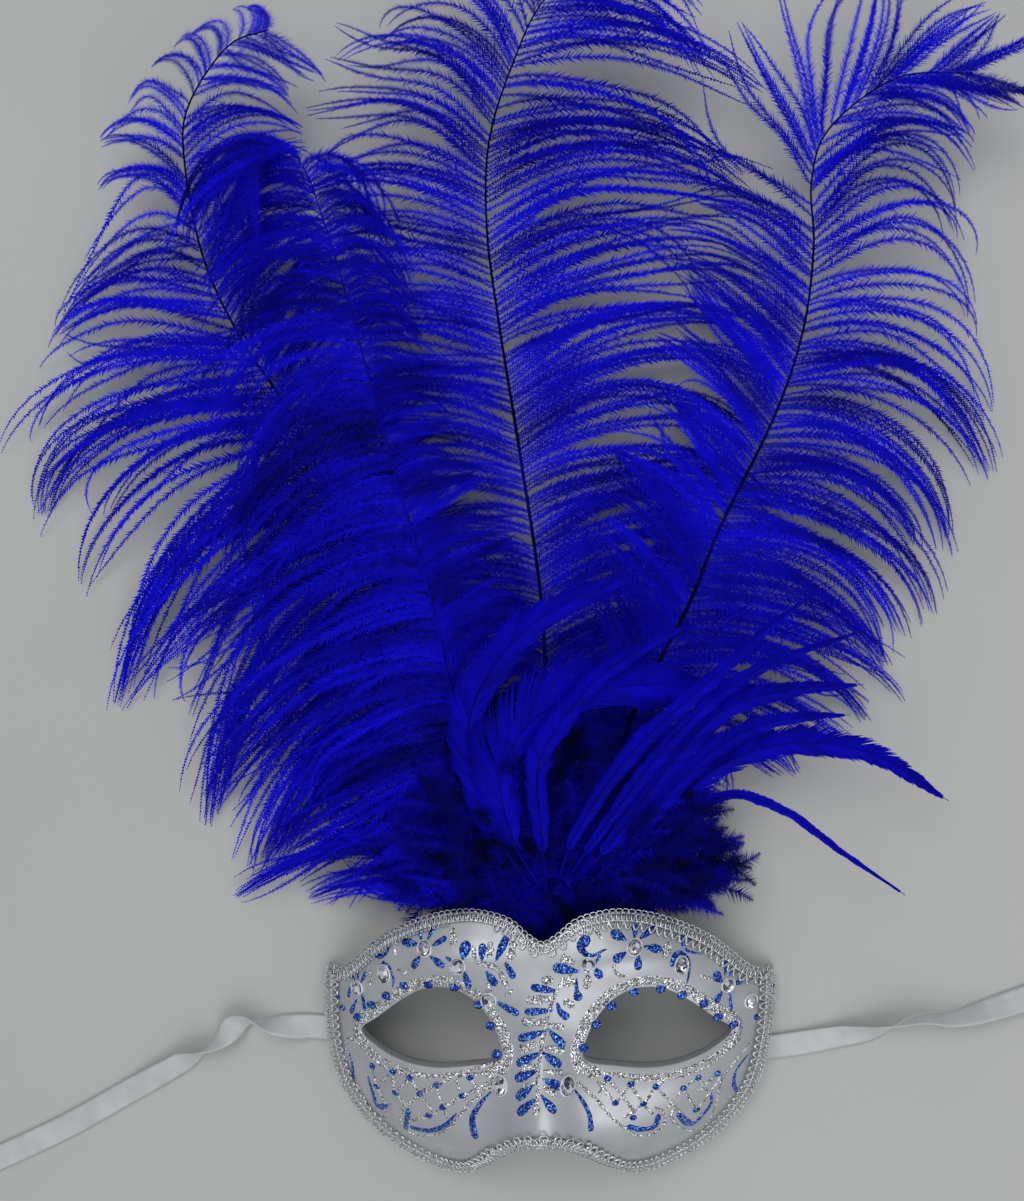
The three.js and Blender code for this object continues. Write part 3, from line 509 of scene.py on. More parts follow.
def mouldedShell():
    # Rows from the rim to the eye over the front, down the lip, and back to the rim behind, a column to a
    # ray; the left half is the right one mirrored, and points that meet at the middle line are made one
    middle = np.array(shellMesh["middle"], float)
    corners = np.array([(0, 38.6), (0, -35), (shellMesh["side"], 17), (shellMesh["side"], 2.2)]) - middle
    angles = np.linspace(-np.pi, np.pi, shellMesh["rays"], endpoint=False)
    angles = np.unique(np.round(np.concatenate([angles, np.arctan2(corners[:, 1], corners[:, 0])]), 6))
    eye = onRays(curveThrough(eyeEdge, closed=True), angles)
    edge = onRays(halfEdge(), angles)
    edge[edge[:, 0] < 0.02, 0] = 0
    out = unit(edge - eye)
    flat = lambda share, offset: (eye + out * offset) + (edge - eye - out * offset) * share
    front = [onFace(flat(share, shellMesh["round"])) for share in np.linspace(1, 0, shellMesh["front"])]
    lip = []
    for offset, drop in lipRows:
        row = onFace(flat(0, offset))
        row[:, 2] -= drop
        lip.append(row)
    back = [onFace(flat(share, shellMesh["lip"]), -wall) for share in np.linspace(0, 1, shellMesh["back"])]
    grid = np.array(front + lip + back)
    grid[..., 2] = np.maximum(grid[..., 2], shellMesh["lowest"])
    rows, count, _ = grid.shape
    j = np.arange(count)
    k = (j + 1) % count
    spans = np.arange(rows - 1)[:, None] * count
    after = spans + count
    faces = np.stack([spans + j, spans + k, after + k, spans + j, after + k, after + j], -1)
    rimSpan = j[~((edge[j, 0] == 0) & (edge[k, 0] == 0))]
    rimNext = (rimSpan + 1) % count
    last = (rows - 1) * count
    rim = np.stack([last + rimSpan, last + rimNext, rimNext, last + rimSpan, rimNext, rimSpan], -1)
    triangles = np.vstack([faces.reshape(-1, 3), rim.reshape(-1, 3)])
    right = grid.reshape(-1, 3)
    left = right * (-1, 1, 1)
    points = np.vstack([right, left])
    triangles = np.vstack([triangles, triangles[:, ::-1] + len(right)])
    whole, number = np.unique(np.round(points, 4), axis=0, return_inverse=True)
    return whole, number.ravel()[triangles]


shell = meshPiece("shell_moulded", *mouldedShell(), "shell", smooth=True)
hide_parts("mask_shell")
print("shell")


# Painted ornament: domed strokes of glitter, each a way over the face: x, y and the width there
paint = {"step": 0.55, "sides": 8, "tall": 0.9, "sink": 0.05, "rough": 0.1, "petal": 1.3,
         "least": 4, "thinnest": 0.01, "blueSwell": 1.22, "silverSwell": 1.3,
         "silverRough": 0.3, "seed": 11}
# A petal's width along it, as places from its foot to its tip and how far it has swelled there
petalForm = ([0, 0.35, 0.7, 1], [0, 0.55, 1, 0.95])
blueStrokes = [
    [(-49, 38, 0.8), (-51, 42.5, 2.7)], [(-46, 38.5, 0.8), (-44, 43.5, 2.7)],
    [(-50, 36, 0.8), (-54.5, 36, 2.9)], [(-44, 36.5, 0.8), (-40.5, 38.5, 2.4)],
    [(-49, 32, 0.8), (-51, 29, 2.7)], [(-44.5, 32.5, 0.8), (-41, 30.5, 2.6)],
    [(-78, 17, 0.6), (-78.5, 22, 1.9)], [(-79.5, 16, 0.5), (-81.5, 18.5, 1.8)],
    [(-76.5, 16, 0.6), (-75, 19, 1.9)], [(-82, 12.5, 1.3), (-82.5, 10, 1.9)],
    [(-78.5, 8.5, 0.6), (-80.5, 4.5, 2.1)], [(-76, 12, 0.6), (-75, 7.5, 1.8)],
    [(-71, 31, 2.9), (-69.5, 29, 2.4), (-67, 28.5, 1.6), (-64, 31, 1.1), (-63, 34.5, 0.6)],
    [(-65.5, 26, 1.9), (-63, 25, 1.3), (-61.5, 22, 1.1), (-61, 19.5, 1), (-61.5, 17.5, 0.6)],
    [(-31, 33, 1.1), (-30.5, 36, 4)], [(-30.5, 28, 0.8), (-29.5, 23.5, 2.7)],
    [(-38, 33, 0.6), (-36, 32, 1.3)], [(-23.5, 33, 1.1), (-23.5, 36, 2.9)],
    [(-18, 32.5, 0.6), (-15.5, 38, 2.9)], [(-14, 31.5, 1.1), (-12, 28, 2.4)],
    [(-21.5, 28, 1.1), (-19.5, 25, 3)], [(-17, 15.5, 1.3), (-12, 13, 2.7)], [(4.5, 21, 1.6), (-1, 22, 2.8)],
    [(3.5, 13.5, 1.4), (-3.2, 13, 2.6)], [(1.5, 6, 1), (-5.5, 3.5, 2.9)], [(-1, -2, 1.1), (-6.5, -5, 3.2)],
    [(-2, -8, 1.1), (-7, -10.5, 3.2)], [(-3, -12.5, 1.1), (-7, -16.5, 3.2)],
    [(-2.5, -18, 1.1), (-6.5, -22, 3)], [(-82.5, -14.5, 0.5), (-81, -19, 1.1), (-81.5, -25.5, 2.1)],
    [(-73, -21.5, 0.6), (-71.5, -28, 1.8), (-70, -35.5, 3), (-65, -32.5, 1.6)],
    [(-54.5, -31.5, 2.2), (-56.5, -39, 2.1)],
    [(-53.5, -40, 2.1), (-46.5, -39, 2.1), (-39.5, -35, 1.8), (-34, -28.5, 0.6)],
    [(-20, -18.5, 0.6), (-24.5, -24, 1.6), (-27.5, -30, 2.2), (-27, -38, 2.7)],
    [(36, 40, 0.8), (36.5, 44.5, 3.4)], [(38.5, 39.5, 0.8), (42.5, 42, 3.2)],
    [(40, 36.5, 0.8), (44, 35.5, 2.9)], [(37.5, 33.5, 1), (37.5, 30.5, 2.9)],
    [(32.5, 35, 0.8), (30, 33.5, 2.9)], [(32.5, 39.5, 1), (29.5, 41, 3.5)],
    [(73, 20, 0.8), (73.5, 24, 2.2)], [(75, 19.5, 0.8), (76.5, 21, 2.2)],
    [(77, 15.5, 0.8), (79, 15.5, 2.2)], [(75, 12, 0.8), (75.5, 7, 1.6)], [(71.5, 13, 1), (70, 11, 2.7)],
    [(71.5, 17.5, 1.3), (70, 19.5, 3.5)],
    [(16.5, 39.5, 4), (15, 37.5, 2.9), (17, 35, 1.8), (20, 34.5, 1.1), (23.5, 36, 0.8), (25, 36.5, 0.5)],
    [(14, 28.5, 1.1), (8, 29.5, 3.4)], [(20.5, 31, 0.6), (22, 33.5, 1.1)], [(21, 29.5, 1), (22, 27.5, 2.9)],
    [(13.5, 25.5, 0.8), (13.5, 21, 1.4), (14, 18.5, 3.2)], [(6, 16, 1), (7, 13, 1.9), (9, 11, 2.9)],
    [(2.5, 6.5, 0.6), (6.5, 2, 3)], [(0.5, -1.5, 0.6), (5, -5, 3)], [(1, -10.5, 0.6), (5.5, -13, 2.9)],
    [(0.5, -16, 0.6), (4, -20.5, 2.6)],
    [(59, 37, 2.7), (56, 38, 2.1), (55.5, 35, 1.3), (57.5, 32.5, 1), (62.5, 30.5, 0.6)],
    [(51, 28.5, 1.9), (52, 31.5, 2.1), (54.5, 32.5, 1.4), (57.5, 29.5, 1.1), (58, 24.5, 1),
     (57, 19.5, 0.6)], [(34, -34.5, 2.1), (39, -36.5, 2.2), (44, -36, 2.2), (45.5, -31.5, 2.1)],
    [(54, -33, 2.2), (57, -38, 2.9), (60, -40.5, 1.9), (64.5, -36.5, 1.8), (67.5, -32, 1.4),
     (67, -28, 1.3)], [(83, -15.5, 0.5), (78, -20.5, 1), (77, -26.5, 2.1), (78.5, -31.5, 1.6)],
    [(12.5, -16, 0.6), (16, -21.5, 1.3), (18.5, -27.5, 1.6), (19, -33.5, 2.1)],
]
silverDrops = [
    [(-36, 42, 2.1), (-35.5, 39.5, 2.6)], [(-20.5, 38, 2.2), (-20.5, 35.5, 2.4)],
    [(-11.5, 38, 2.4), (-12, 35, 2.7)], [(-61, 37, 1.6), (-60.5, 32, 1.1)],
    [(-72, 21.5, 1.1), (-72, 17.5, 1)], [(-59.5, 25, 1.1), (-56.5, 24.5, 1.3)],
    [(-16, 27.5, 1.6), (-14.5, 24, 1.8)], [(-25.5, 31.5, 1.1), (-21, 31, 1.6), (-17.5, 29.5, 1.6)],
    [(-21, 23, 1.4), (-21, 20, 1.8)], [(-14, 19, 1.1), (-12.5, 20.5, 1.3)],
    [(-27, 37, 1.3), (-26.5, 34, 1.3)], [(3, 25, 2.4), (2, 25, 3)], [(3, 18, 1.9), (-2.5, 17.5, 2.9)],
    [(1, 9, 1.6), (-4.5, 9, 2.7)], [(-1, 1.5, 1.4), (-6, -0.5, 2.6)], [(-1, -6, 1.4), (-6, -7.5, 2.4)],
    [(-2, -12, 1.1), (-5, -13.5, 1.9)], [(-1.5, -19, 1.1), (-1.5, -21.5, 2.4)],
    [(11.5, 24.5, 2.4), (10, 24.5, 3.7)], [(12, 32, 1.4), (9.5, 33, 2.7)],
    [(9.5, 16.5, 2.1), (11, 15.5, 2.1)], [(2, 0, 1), (6.5, -1.5, 2.2)], [(1.5, -8, 1), (6, -9, 2.1)],
    [(1.5, -13.5, 1), (4.5, -15.5, 2.4)], [(3, 8, 1), (6.5, 7, 2.1)], [(18, 26.5, 1.6), (17.5, 23.5, 2.2)],
    [(49.5, 35.5, 2.4), (48.5, 33.5, 2.7)], [(28, 30.5, 1), (28.5, 28, 1), (31, 26, 1.3), (33, 26.5, 1)],
    [(63, 21.5, 1), (66, 20, 1.3)], [(70, 28.5, 1.1), (70.5, 25, 1)], [(68.5, 9.5, 1.4), (71, 6.5, 1.6)],
    [(21, 43, 1), (22.5, 41, 1)],
    [(11, 27, 1.2), (6.5, 22, 1.2), (4, 16.5, 1.2), (2, 10.5, 1.2), (0.5, 3, 1.2), (-0.5, -4, 1.2),
     (-1, -10.5, 1.2), (-1, -16, 1.2), (-1.5, -20, 1.2)],
]
# Fine lines of silver glitter: the lattice on each cheek and the scalloped lines round it
fineLines = [
    [(-56.5, -37.5), (-45.5, -31), (-37, -25), (-27.5, -19), (-18.5, -14)],
    [(-49, -22.5), (-42, -18), (-36.5, -15)], [(-45.5, -31), (-39.5, -26.5), (-31.5, -21), (-22.5, -17)],
    [(-53.5, -17), (-49, -22.5), (-44, -28.5)], [(-42, -18), (-39.5, -26.5), (-37.5, -30.5)],
    [(-34, -15.5), (-31.5, -21), (-29, -23.5)], [(-61, -16), (-60, -24.5), (-55.5, -28.5)],
    [(-70.5, -16), (-69, -24.5), (-65, -32.5)], [(-60, -24.5), (-53.5, -17)], [(-69, -24.5), (-61, -16)],
    [(-55.5, -29.5), (-49, -22.5)], [(-28.5, -14), (-25, -19)],
    [(-77.5, -8.5), (-71.5, -12), (-64, -15), (-53.5, -15.5), (-44, -15), (-32.5, -12.5), (-22, -9),
     (-16, -7)],
    [(-16, -13.5), (-22, -18), (-29, -24.5), (-33.5, -30.5), (-39.5, -37.5), (-47, -42), (-55, -44.5),
     (-59, -38.5), (-56.5, -30), (-53.5, -27.5)],
    [(-63, -31), (-68.5, -41.5), (-74.5, -40), (-79, -32), (-83, -25), (-84.5, -16.5), (-83, -8.5),
     (-77.5, -8.5)],
    [(15, -6.5), (22, -11.5), (31, -13.5), (42, -16), (51.5, -16.5), (62.5, -15.5), (71.5, -12),
     (79.5, -7.5)],
    [(12, -12.5), (20.5, -20.5), (25.5, -27.5), (30.5, -33), (37.5, -39.5), (44, -39.5), (48, -35),
     (47.5, -30), (44.5, -27.5)],
    [(52.5, -29), (50.5, -32), (53, -38), (58.5, -44.5), (65.5, -45.5), (69.5, -33.5), (71.5, -23),
     (76, -17.5), (80.5, -14), (84, -11)],
    [(22.5, -19), (25.5, -14)], [(28.5, -23.5), (34.5, -17), (40, -14.5)], [(28.5, -23.5), (23.5, -17)],
    [(32, -30), (39.5, -25), (44.5, -19), (49.5, -16)], [(25.5, -14), (31, -20.5), (36, -28)],
    [(34.5, -17), (39.5, -25), (43, -29.5)], [(44.5, -19), (50, -25.5), (55, -32.5)],
    [(55.5, -21.5), (61, -33), (63.5, -38.5)], [(49.5, -28), (55.5, -21.5), (61.5, -18.5)],
    [(61.5, -18.5), (66, -26.5)], [(61, -33), (66.5, -27), (71.5, -20.5)], [(69.5, -19), (64, -23)],
]
blueDots = [
    (-78, 1.5), (-71.5, 8), (-64.5, 13), (-56.5, 18.5), (-46, 20.5), (-35, 20.5), (-25.5, 14), (-20.5, 6),
    (-18, -4.5), (16, -2), (21, 6.5), (27, 13.5), (36, 18.5), (46.5, 18.5), (55, 15), (64, 10), (70, 3.5),
    (76.5, -1), (-70.5, -16), (-61, -16), (-53.5, -17), (-42, -18), (-28.5, -14), (-69, -24.5),
    (-60, -24.5), (-49, -22.5), (-31.5, -21), (-39.5, -26.5), (-45.5, -31), (-92, 11.5), (-89, 7), (-86, 3),
    (25.5, -14), (34.5, -17), (44.5, -19), (55.5, -21.5), (61.5, -18.5), (69.5, -19), (28.5, -23.5),
    (39.5, -25), (61, -33), (35.5, -30.5), (94.5, 8), (90.5, 3.5), (87, -1),
]
dot = {"half": 0.2, "wide": 2.5, "eyeWide": 3.5, "eyeCount": 18, "tall": 1.7, "eyeTall": 1.9}
fineLine = {"wide": 1.3, "ragged": 0.5, "tall": 0.7}
eyeBand = {"wide": 5.2, "out": 3.0, "tall": 0.42, "ragged": 0.18, "lowerWide": 1.4, "lowerOut": 3.2,
           "start": -0.03, "corner": 0.6, "end": 0.97, "points": 40}


def stroke(way, widths, rng, tall=paint["tall"], ragged=paint["rough"], swell=1.0):
    # A half-sunk oval tube on the face; beyond each end its width falls off as a circle does.
    # A stroke with two points is a petal, widest at 0.7 of its way
    way = np.asarray(way, float)
    if len(way) == 2:
        way = way[0] + (way - way[0]) * paint["petal"]
    widths = np.asarray(widths, float) * swell
    line = curveThrough(way, dense=12)
    length = lengthsOf(line)[-1]
    knots = lengthsOf(way) / lengthsOf(way)[-1]
    first, last = widths[0] / 2, widths[-1] / 2
    count = max(paint["least"], int((length + first + last) / paint["step"]))
    turn = np.linspace(0, 1, count)
    turn = (turn + 0.5 * (1 - np.cos(np.pi * turn))) / 2
    if len(widths) == 2:
        knots, widths = np.array(petalForm[0]), np.interp(petalForm[1], [0, 1], widths)
    s = -first + (length + first + last) * turn
    flat = along(line, np.clip(s / length, 0, 1))
    heading = headingAt(line, np.clip(s / length, 0, 1), 0.05)
    flat = flat + heading * (np.minimum(s, 0) + np.maximum(s - length, 0))[:, None]
    past = np.maximum(np.maximum(-s / first, (s - length) / last), 0)
    wide = np.interp(s / length, knots, widths) * np.sqrt(np.maximum(1 - past**2, paint["thinnest"]))
    wide *= 1 + ragged * rng.uniform(-1, 1, count)
    up = faceNormal(flat[:, 0], flat[:, 1])
    rings = ringsAlong(onFace(flat, -paint["sink"]), wide, tall * np.minimum(1, wide), paint["sides"], up)
    return sweep(rings)


# A stroke for each way; form holds what differs from the usual stroke
def strokesOf(rows, rng, **form):
    return [stroke([row[:2] for row in way], [row[2] for row in way], rng, **form) for way in rows]


def eyeSide(side, start, end, out):
    # Part of the line round an eye, moved out from its edge; start and end are shares of its length
    edge = curveThrough(eyeEdge, closed=True)
    at = np.linspace(start, end, eyeBand["points"]) % 1
    way = headingAt(edge, at)
    flat = along(edge, at) + np.stack([-way[:, 1], way[:, 0]], -1) * out
    return flat * (side, 1)


def ornament():
    rng = np.random.default_rng(paint["seed"])
    blue = strokesOf(blueStrokes, rng, swell=paint["blueSwell"])
    for i, (x, y) in enumerate(blueDots):
        wide, tall = (dot["eyeWide"], dot["eyeTall"]) if i < dot["eyeCount"] else (dot["wide"], dot["tall"])
        blue.append(stroke([(x - dot["half"], y), (x + dot["half"], y)], [wide, wide], rng, tall))
    silver = strokesOf(silverDrops, rng, ragged=paint["silverRough"], swell=paint["silverSwell"])
    fine = fineLine["tall"], fineLine["ragged"]
    for way in fineLines:
        silver.append(stroke(way, [fineLine["wide"]] * len(way), rng, *fine))
    for side in (-1, 1):
        upper = eyeSide(side, eyeBand["start"], eyeBand["corner"], eyeBand["out"])
        silver.append(stroke(upper, [eyeBand["wide"]] * len(upper), rng, eyeBand["tall"],
                             eyeBand["ragged"]))
        lower = eyeSide(side, eyeBand["corner"], eyeBand["end"], eyeBand["lowerOut"])
        silver.append(stroke(lower, [eyeBand["lowerWide"]] * len(lower), rng, *fine))
    for name, look, parts in (("ornament_blue", "blue", blue), ("ornament_silver", "silver", silver)):
        points, triangles, _ = joined(parts)
        meshPiece(name, points, triangles, look, smooth=True)


ornament()
print("ornament")


# Stones keep their cut shape; each sits in a bead of clear glue
stones = table("name x y long wide", ("flower_left", -47, 35, 5.8, 5.8), ("bud_left", -78, 13.5, 5.4, 5.4),
               ("oval_left", -65, 22, 7.4, 5.4), ("spray_left", -33, 30, 6, 6),
               ("corner_left", -21, 16.5, 6, 6), ("cheek_left", -16, -15.5, 7.6, 5.6),
               ("flower_right", 36, 36.5, 5.8, 5.8), ("bud_right", 74, 15.5, 5.4, 5.4),
               ("oval_right", 54.5, 27.5, 7.4, 5.4), ("spray_right", 18, 31, 5.6, 5.6),
               ("temple_right", 84, 6.5, 5.4, 5.4), ("cheek_right", 10, -14.5, 7.2, 5.4))
glue = {"spill": 0.3, "tall": 1.5, "above": 0.4, "sides": 20, "round": 7}


def setStones():
    # Each bead is a small oval section carried over the face round its stone's outline
    beads = []
    angle = 2 * np.pi * np.arange(glue["sides"]) / glue["sides"]
    for row in stones:
        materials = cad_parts[f"stone_{row['name']}"].data.materials
        materials.clear()
        materials.append(looks["stone"])
        rim = np.stack([np.cos(angle) * row["wide"], np.sin(angle) * row["long"]], -1) / 2
        flat = rim + (row["x"], row["y"])
        up = faceNormal(flat[:, 0], flat[:, 1])
        rings = ringsAlong(onFace(flat, glue["above"]), 2 * glue["spill"], glue["tall"], glue["round"], up,
                           closed=True)
        beads.append(sweep(rings, closed=True))
    points, triangles, _ = joined(beads)
    meshPiece("stone_glue", points, triangles, "glue", smooth=True)


setStones()
print("stones")


# Braid: threads along the mask's edge, each given by its distance in from the edge and its height
band = {"seat": 0.9, "sides": 5, "lowest": 0.25, "wide": 5.2, "slope": 0.7, "shift": 1.3,
        "up": (0.13, 0.21, 0.97), "shortest": 12}


def maskOutline():
    # One closed curve through both edges' rows and their mirror images, clockwise from the left temple
    half = lambda rows: [(row["x"], row["y"]) for row in rows]
    mirrored = lambda rows: [(-x, y) for x, y in half(rows)[:0:-1]]
    bottom = mirrored(bottomEdge) + half(bottomEdge)
    return curveThrough(mirrored(topEdge) + half(topEdge) + bottom[::-1], closed=True)


outline = maskOutline()
outlineLength = lengthsOf(outline)[-1]


def braidThread(s, inward, above, thick, closed=False):
    # s runs along the edge in millimetres. Where the rim is steep the band leans out from it: its inner
    # side lies on the face, and from there it drops no faster than the given slope
    at = (s / outlineLength) % 1
    edge = along(outline, at)
    way = headingAt(outline, at, 0.001)
    into = np.stack([way[:, 1], -way[:, 0]], -1)
    rise = (faceHeight(*(edge + into * band["wide"]).T) - faceHeight(*edge.T)) / band["wide"]
    inward = inward + band["shift"] * np.clip(rise - band["slope"], 0, 1)
    flat = edge + into * inward[:, None]
    inner = edge + into * (band["wide"] + band["shift"])
    leaning = faceHeight(*inner.T) - band["slope"] * (band["wide"] + band["shift"] - inward)
    height = np.maximum(faceHeight(*flat.T), leaning) + band["seat"] + above
    path = np.column_stack([flat, np.maximum(height, band["lowest"] + thick / 2)])
    return sweep(ringsAlong(path, thick, thick, band["sides"], band["up"], closed), closed)


def edgeSpans(inside, step):
    # Stretches of the edge where a test on its points holds, as arrays of distance along it
    s = np.arange(0, outlineLength, step)
    hold = inside(*along(outline, s / outlineLength).T)
    cuts = np.flatnonzero(np.diff(hold.astype(int))) + 1
    parts = [part for part in np.split(s, cuts) if len(part) > band["shortest"]]
    return [part for part in parts if hold[int(round(part[0] / step))]]


def curl(row, s):
    # A curling thread: it runs round a circle once for each pitch along the edge
    turn = 2 * np.pi * s / row["pitch"] + row["phase"]
    return s + row["swing"] * np.sin(turn), row["inward"] - row["swing"] * np.cos(turn)


def ladder(row, s):
    # Rungs: the thread swings square across the band and back
    return s, row["inward"] + row["swing"] * np.clip(1.5 * np.sin(2 * np.pi * s / row["pitch"]), -1, 1)


def scallop(row, s):
    # Arches: the thread swings in and back once for each pitch
    return s, row["inward"] + row["swing"] * np.abs(np.sin(np.pi * s / row["pitch"]))


scalloped = lambda x, y: (y < 18) & ~((np.abs(x) < 17) & (y < -20)) | (x > 14)
curled = lambda x, y: (np.abs(x) < 20) & (y > 20) | (np.abs(x) < 19) & (y < -20)
coiled = lambda x, y: (x < -38) & (y > 10)
# Each thread: its form, where it runs (None is the whole edge), the step and phase along it, and its
# pitch, swing, distance in from the edge, height, rise and thickness in millimetres
threads = table(
    "form where step pitch phase swing inward above rise thick",
    (ladder, None, 0.9, 2.2, 0, 0.1, 0.3, 0.25, 0.0, 0.7),
    (ladder, None, 0.9, 2.2, 0, 0.1, 2.9, 0.25, 0.0, 0.7),
    (ladder, None, 0.26, 2.05, 0, 1.35, 1.6, 0.45, 0.2, 0.8),
    (curl, None, 0.24, 2.55, 0, 0.85, -0.3, 0.2, 0.25, 0.5),
    (scallop, scalloped, 0.4, 3.4, 0, 2.9, 2.8, 0.4, 0.15, 0.95),
    (curl, curled, 0.22, 4.5, 0.6, 2.15, 2.6, 0.6, 0.35, 0.8),
    (curl, coiled, 0.24, 1.9, 1.0, 1.0, 3.1, 0.35, 0.3, 0.5))


def braidPieces():
    parts = []
    for row in threads:
        closed = row["where"] is None
        whole = [np.arange(0, outlineLength, row["step"])]
        for s in whole if closed else edgeSpans(row["where"], row["step"]):
            run, inward = row["form"](row, s)
            above = row["above"] + row["rise"] * np.sin(2 * np.pi * s / row["pitch"])
            parts.append(braidThread(run, inward, above, row["thick"], closed))
    return joined(parts)


points, triangles, _ = braidPieces()
braid = meshPiece("braid_threads", points, triangles, "thread", smooth=True)
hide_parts("edge_braid")
print("braid")


# Ostrich plumes: the quill's place behind the forehead and the shaft from there to the tip. The barbs' rows
# give the reach on each side, the heading that their ends hang to in degrees, and the height of those ends.
plumes = {
    "plume_left": {
        "rootX": -9, "downy": 0.08, "count": 330, "sparse": 0.42,
        "shown": 1, "shade": 0.7, "stray": 0.2, "uneven": 0.36, "crowd": 1.1,
        "bend": ([0.1, 0.2, 0.4, 0.5, 0.6, 0.68, 0.76], [0.8, 0.4, 0.33, 0.5, 1.2, 2.6, 1.2]),
        "shaft": [(-24, 62, 26), (-42, 110, 16), (-56, 145, 13.5), (-73, 180, 12.5), (-108, 251, 12),
                  (-127, 280, 12.5), (-143, 315, 15), (-148.5, 355, 22), (-144, 374, 28),
                  (-126, 394, 35), (-109, 399, 38)],
        "barbs": table("at left hangLeft leftZ right hangRight rightZ leave",
                       (0.08, 64, 190, 6, 14, 60, 14, 46), (0.14, 90, 212, 2, 16, 60, 14, 46),
                       (0.2, 97, 228, 2, 16, 60, 12, 46), (0.28, 107, 237, 0.3, 24, 60, 8, 46),
                       (0.41, 124, 246, 0.3, 44, 40, 4, 54), (0.59, 118, 252, 0.3, 58, 26, 2, 60),
                       (0.7, 94, 248, 1, 58, 12, 3, 56), (0.77, 60, 228, 6, 54, 0, 6, 48),
                       (0.86, 36, 212, 18, 48, -24, 12, 40), (1, 14, 196, 34, 26, -50, 30, 26)),
    },
    "plume_centre": {
        "rootX": 2.6, "downy": 0.12, "count": 270, "sparse": 0.15,
        "shown": 1, "shade": 0.62, "stray": 0.16, "uneven": 0.3, "crowd": 1.28,
        "bend": ([0.1, 0.8, 1], [1.1, 1.2, 1.6]),
        "shaft": [(1.4, 62, 21), (0, 103, 15), (-1, 142, 13), (-4, 182, 12), (-13, 241, 12),
                  (-21, 291, 12.5), (-25.5, 328, 14), (-24, 363, 18), (-12, 394, 27), (0, 413, 34),
                  (22, 429, 40)],
        "barbs": table("at left hangLeft leftZ right hangRight rightZ leave",
                       (0.12, 24, 200, 18, 40, 0, 10, 48),
                       (0.25, 20, 200, 17, 62, -10, 0.4, 48), (0.38, 58, 204, 19, 92, -24, 0.3, 60),
                       (0.52, 70, 200, 18, 104, -24, 0.3, 64), (0.66, 76, 202, 18, 106, -24, 0.4, 64),
                       (0.8, 72, 208, 22, 112, -26, 7, 60), (0.91, 60, 206, 28, 96, -32, 18, 48),
                       (1, 34, 190, 36, 36, -48, 32, 28)),
    },
    "plume_right": {
        "rootX": 8.6, "downy": 0.12, "count": 315, "sparse": 0.35,
        "shown": 1, "shade": 0.62, "stray": 0.2, "uneven": 0.36, "crowd": 1.15,
        "bend": ([0.1, 0.5, 0.7, 1], [1, 1.1, 1.5, 1.3]),
        "shaft": [(14, 62, 29), (25, 98, 26), (38, 133, 25), (58, 171, 24), (71, 203, 23), (93, 248, 23),
                  (105, 284, 22.5), (109, 317, 24), (107.5, 342, 28), (114, 362, 33), (140, 380, 38),
                  (170, 382, 38)],
        "barbs": table("at left hangLeft leftZ right hangRight rightZ leave",
                       (0.12, 24, 130, 24, 46, -20, 12, 46),
                       (0.27, 40, 118, 22, 76, -46, 1, 46), (0.39, 50, 138, 21, 92, -60, 0.3, 54),
                       (0.58, 60, 160, 20, 100, -76, 0.3, 60), (0.7, 60, 152, 22, 96, -72, 0.4, 58),
                       (0.8, 60, 124, 30, 82, -50, 8, 44), (0.88, 54, 84, 36, 62, -30, 22, 28),
                       (1, 34, 30, 38, 32, -18, 34, 14)),
    },
    "plume_curled": {
        "rootX": -3.2, "downy": 0.1, "count": 330, "sparse": 0.0,
        "shown": 0.2, "shade": 0.52, "stray": 0.5, "uneven": 0.75, "crowd": 1.0,
        "bend": ([0.1, 0.2, 0.6, 0.8], [0.8, 0.35, 0.45, 0.8]),
        "shaft": [(-13, 62, 31), (-26, 100, 30), (-38, 138, 30), (-46, 173, 30), (-57, 213, 31),
                  (-68, 254, 33), (-77, 290, 38), (-85, 320, 45), (-92, 341, 52), (-103, 346, 56),
                  (-112, 336, 55)],
        "barbs": table("at left hangLeft leftZ right hangRight rightZ leave",
                       (0.1, 74, 196, 14, 30, 30, 26, 46),
                       (0.27, 86, 226, 14, 44, 30, 26, 46), (0.45, 116, 236, 17, 42, 15, 24, 54),
                       (0.58, 108, 248, 18, 34, -2, 24, 54), (0.7, 84, 252, 22, 30, -40, 25, 50),
                       (0.8, 66, 250, 28, 34, -72, 28, 46), (0.89, 54, 244, 36, 44, -92, 34, 42),
                       (1, 40, 238, 47, 52, -104, 44, 34)),
    },
}

